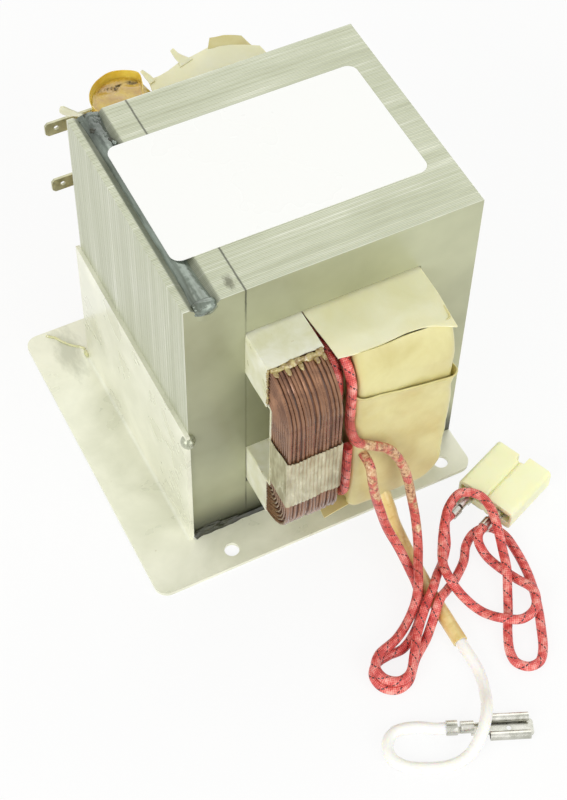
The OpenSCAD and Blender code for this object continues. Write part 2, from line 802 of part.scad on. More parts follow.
// Two barrels side by side, each with a cavity, a cored underside and a slot for a tab.
// The right barrel stands a little forward of the left one.
module plug_housing() {
    barrel_w = housing_w / 2;
    cavity_low = crimp_z - (lead_d + 0.9) / 2;
    slot_z = cavity_low + crimp_box.z / 2;
    back = -housing_l / 2;
    step = 0.5;
    color("#efe9c0") translate([housing_at.x, housing_at.y, 0]) rotate(housing_turn)
        difference() {
            for (side = [-1, 1]) along_x(back, -back - side * step)
                translate([side * barrel_w / 2, 0])
                    rounded([-barrel_w / 2 - 0.2, 0], [barrel_w / 2 + 0.2, housing_h], 1.6);
            for (side = [-1, 1]) translate([0, side * way, 0]) {
                block([back - 1, -4, cavity_low], [-back - 2.5, 4, cavity_low + cavity_h]);
                block([-back - 3, -3.6, slot_z - 0.8], [-back + 1, 3.6, slot_z + 0.8]);
                block([back + 3, -2.8, -1], [-back - 3, 2.8, 1.2]);
                block([-1.5, -1.3, 0], [2, 1.3, cavity_low + eps]);
            }
            block([-back - 2.4, -1.5, -1], [-back + 2, 1.5, housing_h + 1]);
        }
}

module push_on_receptacle() {
    translate([receptacle_at.x, receptacle_at.y, receptacle_z]) rotate(receptacle_turn)
        push_on(receptacle_l, receptacle_box, hv_d, receptacle_tongue);
}

e_core();
i_core();
top_weld_bead();
bottom_weld_bead();
base_plate();
wall_tack_weld();
label_panel();
shunt_upper();
shunt_lower();
primary_sleeve();
primary_winding();
primary_liner_upper();
primary_liner_lower();
primary_tape_band();
primary_rear_tape();
tab_terminal_upper();
tab_terminal_lower();
filament_winding();
secondary_sleeve();
secondary_winding();
secondary_liner_upper();
secondary_liner_lower();
secondary_front_wrap();
secondary_front_sheet();
secondary_rear_wrap();
filament_lead_left();
filament_lead_right();
crimp_terminal_left();
crimp_terminal_right();
plug_housing();
hv_sleeve();
hv_lead();
push_on_receptacle();
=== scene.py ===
"""High voltage transformer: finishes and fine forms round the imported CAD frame.

Metres, +Z up, front of the core towards -Y, origin under the middle of the core.
The model has no joints, so every piece rides on the one body, "root".
"""

from __future__ import annotations

import logging
import math
from dataclasses import dataclass, field
from enum import Enum
from functools import partial
from typing import Callable, Sequence

import bpy
from mathutils import Matrix, Vector, noise

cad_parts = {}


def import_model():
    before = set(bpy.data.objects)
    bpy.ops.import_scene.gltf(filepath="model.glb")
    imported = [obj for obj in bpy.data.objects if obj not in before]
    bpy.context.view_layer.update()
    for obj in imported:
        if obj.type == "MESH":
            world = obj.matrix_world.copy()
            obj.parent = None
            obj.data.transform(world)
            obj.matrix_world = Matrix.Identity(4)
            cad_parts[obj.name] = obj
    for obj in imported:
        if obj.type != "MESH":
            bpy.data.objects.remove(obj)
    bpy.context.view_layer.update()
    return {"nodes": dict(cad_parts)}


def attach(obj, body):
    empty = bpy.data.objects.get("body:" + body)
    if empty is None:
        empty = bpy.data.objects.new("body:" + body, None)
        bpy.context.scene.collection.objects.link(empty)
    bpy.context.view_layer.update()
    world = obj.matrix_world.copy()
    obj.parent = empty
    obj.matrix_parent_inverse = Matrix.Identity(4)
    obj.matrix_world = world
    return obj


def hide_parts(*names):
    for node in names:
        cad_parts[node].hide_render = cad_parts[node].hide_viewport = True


LOG = logging.getLogger("transformer")
BODY = "root"
MM = 0.001
LEG_Z = 53.7  # height of the centre leg's middle, in mm, as are the next ones
SLOT_WALL = -26.05  # left wall of the slot that the primary lies in
PAPER = 0.45  # thickness of the wraps' pressboard
THIN_PAPER = 0.35  # thickness of the slot papers
FILM = 0.15  # thickness of the amber tape

Colour = tuple[float, float, float, float]
Point = tuple[float, float, float]


def linear(hex_colour: str) -> Colour:
    """Turns an sRGB hex colour into the linear values that a shader takes.

    Args:
        hex_colour: six hex digits.

    Returns:
        Linear red, green, blue and an alpha of one.
    """
    values = []
    for i in (0, 2, 4):
        c = int(hex_colour[i : i + 2], 16) / 255
        values.append(c / 12.92 if c <= 0.04045 else ((c + 0.055) / 1.055) ** 2.4)
    return (values[0], values[1], values[2], 1.0)


def add_node(
    tree: bpy.types.NodeTree,
    kind: str,
    settings: dict | None = None,
    links: dict | None = None,
) -> bpy.types.Node:
    """Adds one node, sets its attributes and sockets, and links its inputs.

    Args:
        tree: the node tree that gets the node.
        kind: the node's type name, without its ShaderNode.
        settings: attribute or input names, or input numbers, with their values;
            "stops" gives a colour ramp its (position, sRGB hex colour) pairs.
        links: input names or numbers with what feeds each, an output socket or a node,
            which stands for its first output.

    Returns:
        The new node.
    """
    node = tree.nodes.new("ShaderNode" + kind)
    for name, value in (settings or {}).items():
        if name == "stops":
            elements = node.color_ramp.elements
            for i, (position, colour) in enumerate(value):
                element = elements[i] if i < 2 else elements.new(position)
                element.position = position
                element.color = linear(colour)
        elif isinstance(name, int) or name in node.inputs:
            node.inputs[name].default_value = value
        else:
            setattr(node, name, value)
    for name, source in (links or {}).items():
        output = source.outputs[0] if isinstance(source, bpy.types.Node) else source
        tree.links.new(output, node.inputs[name])
    return node


def mm(*values: float) -> Vector:
    """A point given in millimetres, as a vector in metres."""
    return Vector(values) * MM


def along_table(table: Sequence[tuple[float, float]], x: float) -> float:
    """Reads a value from a table, in straight lines between its pairs.

    Args:
        table: (x, value) pairs in rising order of x.
        x: where to read it.

    Returns:
        The value there, or the nearest end's value outside the table.
    """
    if x <= table[0][0]:
        return table[0][1]
    for (x0, v0), (x1, v1) in zip(table, table[1:]):
        if x <= x1:
            return v0 + (v1 - v0) * (x - x0) / (x1 - x0)
    return table[-1][1]


def wander(seed: float, *place: float) -> float:
    """Soft noise from -1 to 1 that repeats each run.

    Args:
        seed: picks one of many fields.
        place: one to three coordinates, in features.

    Returns:
        The value of the field there.
    """
    full = list(place) + [0.0] * (3 - len(place))
    return noise.noise(Vector((full[0] + seed * 7.31, full[1] - seed * 3.17, full[2] + seed)))


def smooth_route(points: Sequence[Vector], step: float, low: float) -> list[Vector]:
    """A smooth curve through the points of a route.

    Args:
        points: the route, in metres.
        step: the distance between the curve's points.
        low: the lowest that the centre line may lie.

    Returns:
        The points of the curve, both ends kept.
    """
    ends = [2 * points[0] - points[1]] + list(points) + [2 * points[-1] - points[-2]]
    curve: list[Vector] = []
    for i in range(1, len(ends) - 2):
        a, b, c, d = ends[i - 1 : i + 3]
        ta = (b - a).length ** 0.5
        tb = ta + (c - b).length ** 0.5
        tc = tb + (d - c).length ** 0.5
        count = max(2, round((c - b).length / step))
        for k in range(count):
            t = ta + (tb - ta) * k / count
            p = a.lerp(b, t / ta)
            q = b.lerp(c, (t - ta) / (tb - ta))
            r = c.lerp(d, (t - tb) / (tc - tb))
            s = p.lerp(q, t / tb)
            u = q.lerp(r, (t - ta) / (tc - ta))
            point = s.lerp(u, (t - ta) / (tb - ta))
            point.z = max(point.z, low)
            curve.append(point)
    curve.append(points[-1].copy())
    return curve


@dataclass
class Shape:
    """Vertices, faces, a UV pair for each face corner and a material number a face."""

    vertices: list[Vector]
    faces: list[tuple[int, ...]]
    uvs: list[tuple[float, float]]
    slots: list[int]

    @classmethod
    def empty(cls) -> "Shape":
        """A shape with nothing in it."""
        return cls([], [], [], [])

    def add(self, other: "Shape", slot: int = 0) -> "Shape":
        """Adds another shape's faces under one material number.

        Args:
            other: the shape to add.
            slot: the material number of its faces.

        Returns:
            This shape.
        """
        start = len(self.vertices)
        self.vertices += other.vertices
        self.faces += [tuple(start + i for i in face) for face in other.faces]
        self.uvs += other.uvs
        self.slots += [slot] * len(other.faces)
        return self


def loft(rings: Sequence[Sequence[Vector]], closed: bool = False) -> Shape:
    """Skins a row of rings, with U along them in metres and V round them from 0 to 1.

    Args:
        rings: rings of equally many points, each counterclockwise as seen from the next.
        closed: True where the last ring joins the first; the ends are capped otherwise.

    Returns:
        The closed skin.
    """
    count, sides = len(rings), len(rings[0])
    shape = Shape.empty()
    centres = []
    for ring in rings:
        shape.vertices += ring
        centres.append(sum(ring, Vector()) / sides)
    along = [0.0]
    for i in range(1, count + 1):
        along.append(along[-1] + (centres[i % count] - centres[i - 1]).length)
    for i in range(count if closed else count - 1):
        j = (i + 1) % count
        for k in range(sides):
            n = (k + 1) % sides
            shape.faces.append((i * sides + k, i * sides + n, j * sides + n, j * sides + k))
            v0, v1 = k / sides, (k + 1) / sides
            shape.uvs += [(along[i], v0), (along[i], v1), (along[i + 1], v1), (along[i + 1], v0)]
    if not closed:
        for ring, order in ((0, range(sides - 1, -1, -1)), (count - 1, range(sides))):
            shape.faces.append(tuple(ring * sides + k for k in order))
            shape.uvs += [(along[ring], k / sides) for k in order]
    shape.slots = [0] * len(shape.faces)
    return shape


def tube(
    path: Sequence[Vector],
    radius: float | Callable[[float, float], float],
    sides: int,
    closed: bool = False,
) -> Shape:
    """A round tube along a path.

    Args:
        path: the centre line.
        radius: one radius, or a function of length and angle.
        sides: faces round the tube.
        closed: True for a ring.

    Returns:
        The tube.
    """
    count = len(path)
    tangents = []
    for i in range(count):
        if closed:
            tangents.append((path[(i + 1) % count] - path[i - 1]).normalized())
        else:
            tangents.append((path[min(i + 1, count - 1)] - path[max(i - 1, 0)]).normalized())
    start = Vector((0, 0, 1)) if abs(tangents[0].z) < 0.9 else Vector((1, 0, 0))
    side = start.cross(tangents[0]).normalized()
    rings = []
    along = 0.0
    for i, tangent in enumerate(tangents):
        if i:
            side = (side - side.dot(tangent) * tangent).normalized()
            along += (path[i] - path[i - 1]).length
        up = tangent.cross(side)
        ring = []
        for k in range(sides):
            angle = math.tau * k / sides
            r = radius if isinstance(radius, (int, float)) else radius(along, angle)
            ring.append(path[i] + r * (math.cos(angle) * side + math.sin(angle) * up))
        rings.append(ring)
    return loft(rings, closed)


def blob(centre: Vector, radii: Vector, bump: float, seed: float) -> Shape:
    """A drop of metal or varnish that has set, with a slightly uneven surface.

    Args:
        centre: its middle.
        radii: its half sizes.
        bump: how far the surface wanders, as a share of the radii.
        seed: picks the unevenness.

    Returns:
        The drop.
    """
    rows, sides = 18, 28
    rings = []
    for i in range(rows + 1):
        tilt = math.pi * min(max(i / rows, 0.004), 0.996)
        ring = []
        for k in range(sides):
            turn = math.tau * k / sides
            out = Vector(
                (math.sin(tilt) * math.cos(turn), math.sin(tilt) * math.sin(turn), -math.cos(tilt))
            )
            uneven = 1 + bump * wander(seed, *(out * 1.7))
            ring.append(centre + out * radii * uneven)
        rings.append(ring)
    return loft(rings)


def sheet(
    surface: Callable[[float, float], Vector],
    across: int,
    down: int,
    thickness: float,
) -> Shape:
    """A closed sheet of even thickness whose outer side follows a surface.

    Args:
        surface: a point for each pair of shares from 0 to 1.
        across: cells along the first share.
        down: cells along the second share.
        thickness: how far the back lies behind the surface.

    Returns:
        The sheet, with the two shares as UVs.
    """
    grid = [[surface(i / across, j / down) for j in range(down + 1)] for i in range(across + 1)]
    shape = Shape.empty()
    stride = down + 1
    for level in (0, 1):
        for i in range(across + 1):
            for j in range(down + 1):
                a = grid[min(i + 1, across)][j] - grid[max(i - 1, 0)][j]
                b = grid[i][min(j + 1, down)] - grid[i][max(j - 1, 0)]
                out = a.cross(b).normalized()
                shape.vertices.append(grid[i][j] - out * thickness * level)
    back = (across + 1) * stride

    def face(corners: Sequence[tuple[int, int, int]]) -> None:
        """Adds one face from (across, down, level) corners."""
        shape.faces.append(tuple(i * stride + j + back * k for i, j, k in corners))
        shape.uvs.extend((i / across, j / down) for i, j, _ in corners)

    for i in range(across):
        for j in range(down):
            face([(i, j, 0), (i + 1, j, 0), (i + 1, j + 1, 0), (i, j + 1, 0)])
            face([(i, j, 1), (i, j + 1, 1), (i + 1, j + 1, 1), (i + 1, j, 1)])
    for i in range(across):
        face([(i, 0, 0), (i, 0, 1), (i + 1, 0, 1), (i + 1, 0, 0)])
        face([(i, down, 0), (i + 1, down, 0), (i + 1, down, 1), (i, down, 1)])
    for j in range(down):
        face([(0, j, 0), (0, j + 1, 0), (0, j + 1, 1), (0, j, 1)])
        face([(across, j, 0), (across, j, 1), (across, j + 1, 1), (across, j + 1, 0)])
    shape.slots = [0] * len(shape.faces)
    return shape


def place(
    name: str,
    shape: Shape,
    finishes: Sequence[bpy.types.Material],
    slot: str,
    replaces: Sequence[str] = (),
    crease: float = 40.0,
) -> bpy.types.Object:
    """Makes a piece of the object from a shape, riding on the one body.

    Args:
        name: the piece's name.
        shape: its mesh.
        finishes: its materials, by material number.
        slot: a material slot's name; not used.
        replaces: CAD nodes that it stands for.
        crease: edges sharper than this angle, in degrees, stay sharp.

    Returns:
        The new object.
    """
    mesh = bpy.data.meshes.new(name)
    mesh.from_pydata([tuple(v) for v in shape.vertices], [], shape.faces)
    layer = mesh.uv_layers.new(name="along")
    layer.data.foreach_set("uv", [value for pair in shape.uvs for value in pair])
    for finish in finishes:
        mesh.materials.append(finish)
    mesh.polygons.foreach_set("material_index", shape.slots)
    mesh.polygons.foreach_set("use_smooth", [True] * len(mesh.polygons))
    mesh.set_sharp_from_angle(angle=math.radians(crease))
    mesh.update()
    piece = bpy.data.objects.new(name, mesh)
    bpy.context.scene.collection.objects.link(piece)
    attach(piece, BODY)
    if replaces:
        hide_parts(*replaces)
    LOG.info("%s: %d faces", name, len(mesh.polygons))
    return piece


@dataclass(frozen=True)
class Finish:
    """A surface of one real material, built as one shader.

    Attributes:
        name: the material and the process that made its surface.
        colour: its main colour, sRGB.
        roughness: its typical roughness.
        metallic: 1 for bare metal.
        ior: index of refraction; a metal keeps the default.
        coat: weight of a clear varnish over it.
    """

    name: str
    colour: str
    roughness: float = 0.5
    metallic: float = 0.0
    ior: float = 1.5
    coat: float = 0.0

    def build(self) -> bpy.types.Material:
        """Makes the material and dresses its shader."""
        material = bpy.data.materials.new(self.name)
        material.use_nodes = True
        material.diffuse_color = linear(self.colour)
        tree = material.node_tree
        shader = tree.nodes["Principled BSDF"]
        shader.inputs["Base Color"].default_value = linear(self.colour)
        shader.inputs["Roughness"].default_value = self.roughness
        shader.inputs["Metallic"].default_value = self.metallic
        shader.inputs["IOR"].default_value = self.ior
        shader.inputs["Coat Weight"].default_value = self.coat
        shader.inputs["Coat Roughness"].default_value = 0.15
        place_node = add_node(tree, "TexCoord")
        self.dress(tree, shader, place_node.outputs["Object"])
        return material

    def soft_spot(
        self, tree: bpy.types.NodeTree, position: bpy.types.NodeSocket, middle: Point, half: Point
    ) -> bpy.types.NodeSocket:
        """A socket that is 1 in one soft-edged, uneven place and 0 away from it.

        Args:
            tree: the finish's tree.
            position: the surface's place, in metres.
            middle: middle of the place, in mm.
            half: its half sizes, in mm.

        Returns:
            The socket.
        """
        add = partial(add_node, tree)
        scale = [1000 / size for size in half]
        at = add(
            "Mapping", {"Scale": scale, "Location": [-m / size for m, size in zip(middle, half)]},
            {"Vector": position},
        )
        distance = add("VectorMath", {"operation": "LENGTH"}, {0: at})
        # The scale counts in the place's own half sizes, so the edge grows with the place.
        edge = add("TexNoise", {"Scale": 1.8, "Detail": 4.0, "Roughness": 0.6}, {"Vector": at})
        reach = add(
            "Math", {"operation": "MULTIPLY_ADD", 1: 1.6},
            {0: edge.outputs["Fac"], 2: distance.outputs["Value"]},
        )
        share = add(
            "MapRange", {"From Min": 1.9, "From Max": 1.2, "To Max": 0.85}, {"Value": reach},
        )
        return share.outputs[0]

    def away_from(
        self,
        tree: bpy.types.NodeTree,
        value: bpy.types.NodeSocket | bpy.types.Node,
        place_mm: float,
    ) -> bpy.types.Node:
        """Distance of one coordinate from a place, on either side of it.

        Args:
            tree: the finish's tree.
            value: the coordinate, in metres.
            place_mm: the place, in mm.

        Returns:
            The node that gives the distance, in metres.
        """
        past = add_node(tree, "Math", {"operation": "SUBTRACT", 1: place_mm * MM}, {0: value})
        return add_node(tree, "Math", {"operation": "ABSOLUTE"}, {0: past})

    def dress(
        self, tree: bpy.types.NodeTree, shader: bpy.types.Node, position: bpy.types.NodeSocket
    ) -> None:
        """Adds the finish's own nodes; each kind of finish has its own.

        Args:
            tree: the material's tree.
            shader: its Principled shader.
            position: the place on the object, in metres.
        """
        raise NotImplementedError


@dataclass(frozen=True)
class LaminatedSteel(Finish):
    """Silicon steel sheets, punched and stacked, then dipped in clear varnish.

    To the eye the flat faces are smooth olive grey, lighter to the right as painted light,
    darker at the foot from varnish and painted shade; the stack's edges show as a fine
    regular hatch with a few pale runs.

    Attributes:
        pale: the lightest tone of a flat face, sRGB.
        pooled_and_shade: the tone at the foot, varnish that gathered there and painted shade,
            sRGB.
        sheet_mm: thickness of one sheet.
        seam_mm: place of the joint between the two stacks, along X.
        bead_mm: place of the weld beads, along X; their grooves are darker, varnish and painted
            shade.
        drop_mm: place of a brown drop of varnish on the top.
        runs_mm: size of the pale runs across the edges, along each axis.
        clouds_mm: size of the clouds on the flat faces.
        ragged_mm: size of the unevenness along the joint of the stacks.
        middle_mm: a height near the core's middle; the joint shows darker away from it.
        foot_mm: heights where the dark foot, varnish with painted shade, starts to show and is
            full.
        groove_mm: distances from a bead's middle where its groove starts to show and is full.
    """

    pale: str = "b9bc9c"
    pooled_and_shade: str = "2e3120"
    sheet_mm: float = 0.5
    seam_mm: float = -26.25
    bead_mm: float = -37.55
    drop_mm: Point = (-28.9, -33.2, 106.2)
    runs_mm: Point = (45.455, 3.8462, 111.11)
    clouds_mm: float = 38.462
    ragged_mm: float = 2.381
    middle_mm: float = 55.0
    foot_mm: tuple[float, float] = (17.0, 3.0)
    groove_mm: tuple[float, float] = (4.7, 3.6)

    def dress(
        self, tree: bpy.types.NodeTree, shader: bpy.types.Node, position: bpy.types.NodeSocket
    ) -> None:
        """Sheet edges, varnish runs, the dark joint, painted light across the flat faces, and
        varnish with painted shade at the foot and in the beads' grooves.

        Args:
            tree: the material's tree.
            shader: its Principled shader.
            position: the place on the object, in metres.
        """
        add = partial(add_node, tree)
        apart = add("SeparateXYZ", links={0: position})
        normal = add("NewGeometry").outputs["Normal"]
        normal_parts = add("SeparateXYZ", links={0: normal})
        facing = add("Math", {"operation": "ABSOLUTE"}, {0: normal_parts.outputs["Y"]})
        is_edge = add("MapRange", {"From Min": 0.85, "From Max": 0.6}, {"Value": facing})
        count = add(
            "Math", {"operation": "MULTIPLY", 1: 1000 / self.sheet_mm}, {0: apart.outputs["Y"]},
        )
        number = add("Math", {"operation": "FLOOR"}, {0: count})
        tone = add("TexWhiteNoise", {"noise_dimensions": "1D"}, {"W": number})
        from_joint = add("Math", {"operation": "PINGPONG", 1: 0.5}, {0: count})
        joint = add(
            "MapRange", {"From Min": 0.05, "From Max": 0.2, "To Min": 0.55, "To Max": 0.0},
            {"Value": from_joint},
        )
        upward = add("Math", {"operation": "ABSOLUTE"}, {0: normal_parts.outputs["Z"]})
        on_side = add(
            "MapRange", {"From Min": 0.2, "From Max": 0.8, "To Min": 0.3}, {"Value": upward},
        )
        joint_shown = add("Math", {"operation": "MULTIPLY"}, {0: joint, 1: on_side})
        stretch = add(
            "Mapping", {"Scale": [1000 / size for size in self.runs_mm]}, {"Vector": position},
        )
        runs = add(
            "TexNoise", {"Scale": 1.0, "Detail": 5.0, "Roughness": 0.62}, {"Vector": stretch},
        )
        clouds = add(
            "TexNoise", {"Scale": 1000 / self.clouds_mm, "Detail": 4.0, "Roughness": 0.5},
            {"Vector": position},
        )
        mixed_tone = add(
            "Math", {"operation": "MULTIPLY_ADD", 1: 0.16},
            {0: tone.outputs["Value"], 2: runs.outputs["Fac"]},
        )
        edge_ramp = add(
            "ValToRGB",
            {"stops": ((0.36, "aeb196"), (0.52, "babea4"), (0.68, "c4c7b0"), (0.84, "e0e2d0"))},
            {"Fac": mixed_tone},
        )
        edge = add(
            "Mix", {"data_type": "RGBA", 7: linear("71755f")}, {0: joint_shown, 6: edge_ramp},
        )
        # Painted light: the flat faces grow lighter towards the right, where more light falls.
        lean = add(
            "MapRange",
            {"From Min": -44 * MM, "From Max": 44 * MM, "To Min": -0.09, "To Max": 0.13},
            {"Value": apart.outputs["X"]},
        )
        flat_tone_with_painted_light = add("Math", {"operation": "ADD"}, {0: clouds.outputs["Fac"], 1: lean})
        flat = add(
            "ValToRGB", {"stops": ((0.36, self.colour), (0.66, self.pale))},
            {"Fac": flat_tone_with_painted_light},
        )
        # Painted shade with varnish: the flat faces darken towards the foot, where varnish
        # gathered and shade falls.
        starts, full = (value * MM for value in self.foot_mm)
        foot = add(
            "MapRange",
            {
                "interpolation_type": "SMOOTHSTEP", "From Min": starts, "From Max": full,
                "To Max": 0.93,
            },
            {"Value": apart.outputs["Z"]},
        )
        footed = add("Mix", {"data_type": "RGBA", 7: linear(self.pooled_and_shade)}, {0: foot, 6: flat})
        # Varnish and painted shade: the edges in and beside each bead's groove turn dark olive.
        outside, inside = (value * MM for value in self.groove_mm)
        groove = add(
            "MapRange", {"From Min": outside, "From Max": inside, "To Max": 0.62},
            {"Value": self.away_from(tree, apart.outputs["X"], self.bead_mm)},
        )
        grooved = add(
            "Mix", {"data_type": "RGBA", 7: linear("4b5040")}, {0: groove, 6: edge.outputs[2]},
        )
        both = add(
            "Mix", {"data_type": "RGBA"},
            {0: is_edge, 6: footed.outputs[2], 7: grooved.outputs[2]},
        )
        ragged = add(
            "TexNoise", {"Scale": 1000 / self.ragged_mm, "Detail": 3.0, "Roughness": 0.7},
            {"Vector": position},
        )
        offset = add(
            "Math", {"operation": "MULTIPLY_ADD", 1: 0.35 * MM},
            {0: ragged.outputs["Fac"], 2: apart.outputs["X"]},
        )
        seam = add(
            "MapRange",
            {"From Min": 0.12 * MM, "From Max": 0.4 * MM, "To Min": 0.85, "To Max": 0.0},
            {"Value": self.away_from(tree, offset, self.seam_mm + 0.18)},
        )
        faded = add(
            "MapRange", {"From Min": 38 * MM, "From Max": 46 * MM, "To Min": 0.35},
            {"Value": self.away_from(tree, apart.outputs["Z"], self.middle_mm)},
        )
        seam_shown = add("Math", {"operation": "MULTIPLY"}, {0: seam, 1: faded})
        seamed = add(
            "Mix", {"data_type": "RGBA", 7: linear("3b3d2c")},
            {0: seam_shown, 6: both.outputs[2]},
        )
        base = add(
            "Mix", {"data_type": "RGBA", 7: linear("64654d")},
            {
                0: self.soft_spot(tree, position, self.drop_mm, (1.5, 2.7, 1.5)),
                6: seamed.outputs[2],
            },
        )
        rough = add(
            "MapRange", {"From Min": 0.3, "From Max": 0.7, "To Min": 0.3, "To Max": 0.5},
            {"Value": clouds.outputs["Fac"]},
        )
        lines = add("Math", {"operation": "MULTIPLY"}, {0: from_joint, 1: is_edge})
        bump = add("Bump", {"Strength": 0.25, "Distance": 0.08 * MM}, {"Height": lines})
        fine = add(
            "Bump", {"Strength": 0.08, "Distance": 0.4 * MM},
            {"Height": clouds.outputs["Fac"], "Normal": bump},
        )
        tree.links.new(base.outputs[2], shader.inputs["Base Color"])
        tree.links.new(rough.outputs[0], shader.inputs["Roughness"])
        tree.links.new(fine.outputs[0], shader.inputs["Normal"])


@dataclass(frozen=True)
class Mottled(Finish):
    """A surface whose tone wanders between two colours, with spots of varnish.

    Attributes:
        other: the second tone, sRGB.
        patch_mm: size of the wandering tone.
        stretch: how much finer the tone is along each axis.
        grain_mm: size of the fine grain in the surface.
        grain: strength of the grain's bump.
        stain: colour of rare spots, sRGB.
        stain_share: how much of the surface the spots take, from 0 to 1.
        light_through: weight of light that passes below the surface.
        alpha: how much of what lies behind the finish hides.
        cloud: middle and half sizes of one darker place, in mm, or None.
        cloud_tone: the colour there, sRGB.
    """

    other: str = "ffffff"
    patch_mm: float = 12.0
    stretch: Point = (1.0, 1.0, 1.0)
    grain_mm: float = 0.6
    grain: float = 0.2
    stain: str = "8a7a50"
    stain_share: float = 0.0
    light_through: float = 0.0
    alpha: float = 1.0
    cloud: tuple[Point, Point] | None = None
    cloud_tone: str = "9a9a86"

    def dress(
        self, tree: bpy.types.NodeTree, shader: bpy.types.Node, position: bpy.types.NodeSocket
    ) -> None:
        """Two tones, spots, grain and uneven gloss.

        Args:
            tree: the material's tree.
            shader: its Principled shader.
            position: the place on the object, in metres.
        """
        add = partial(add_node, tree)
        stretched = add("Mapping", {"Scale": self.stretch}, {"Vector": position})
        patches = add(
            "TexNoise",
            {"Scale": 1000 / self.patch_mm, "Detail": 4.0, "Roughness": 0.55, "Distortion": 0.3},
            {"Vector": stretched},
        )
        tones = add(
            "ValToRGB", {"stops": ((0.32, self.other), (0.68, self.colour))},
            {"Fac": patches.outputs["Fac"]},
        )
        grain = add(
            "TexNoise", {"Scale": 1000 / self.grain_mm, "Detail": 3.0, "Roughness": 0.6},
            {"Vector": position},
        )
        spot_mm = self.patch_mm / 2.6
        spots = add(
            "TexNoise", {"Scale": 1000 / spot_mm, "Detail": 3.0, "Roughness": 0.65},
            {"Vector": position},
        )
        spotted = add(
            "MapRange",
            {
                "From Min": 0.78 - 0.4 * self.stain_share,
                "From Max": 0.84 - 0.4 * self.stain_share,
                "To Max": 0.8 if self.stain_share else 0.0,
            },
            {"Value": spots.outputs["Fac"]},
        )
        base = add("Mix", {"data_type": "RGBA", 7: linear(self.stain)}, {0: spotted, 6: tones})
        if self.cloud:
            base = add(
                "Mix", {"data_type": "RGBA", 7: linear(self.cloud_tone)},
                {0: self.soft_spot(tree, position, *self.cloud), 6: base.outputs[2]},
            )
        rough = add(
            "MapRange",
            {
                "From Min": 0.3, "From Max": 0.7, "To Min": max(self.roughness - 0.12, 0.05),
                "To Max": self.roughness + 0.12,
            },
            {"Value": patches.outputs["Fac"]},
        )
        bump = add(
            "Bump", {"Strength": self.grain, "Distance": 0.1 * MM},
            {"Height": grain.outputs["Fac"]},
        )
        tree.links.new(base.outputs[2], shader.inputs["Base Color"])
        tree.links.new(rough.outputs[0], shader.inputs["Roughness"])
        tree.links.new(bump.outputs[0], shader.inputs["Normal"])
        shader.inputs["Alpha"].default_value = self.alpha
        if self.light_through:
            shader.inputs["Subsurface Weight"].default_value = self.light_through
            shader.inputs["Subsurface Radius"].default_value = (1.0, 0.8, 0.45)
            shader.inputs["Subsurface Scale"].default_value = 2 * MM


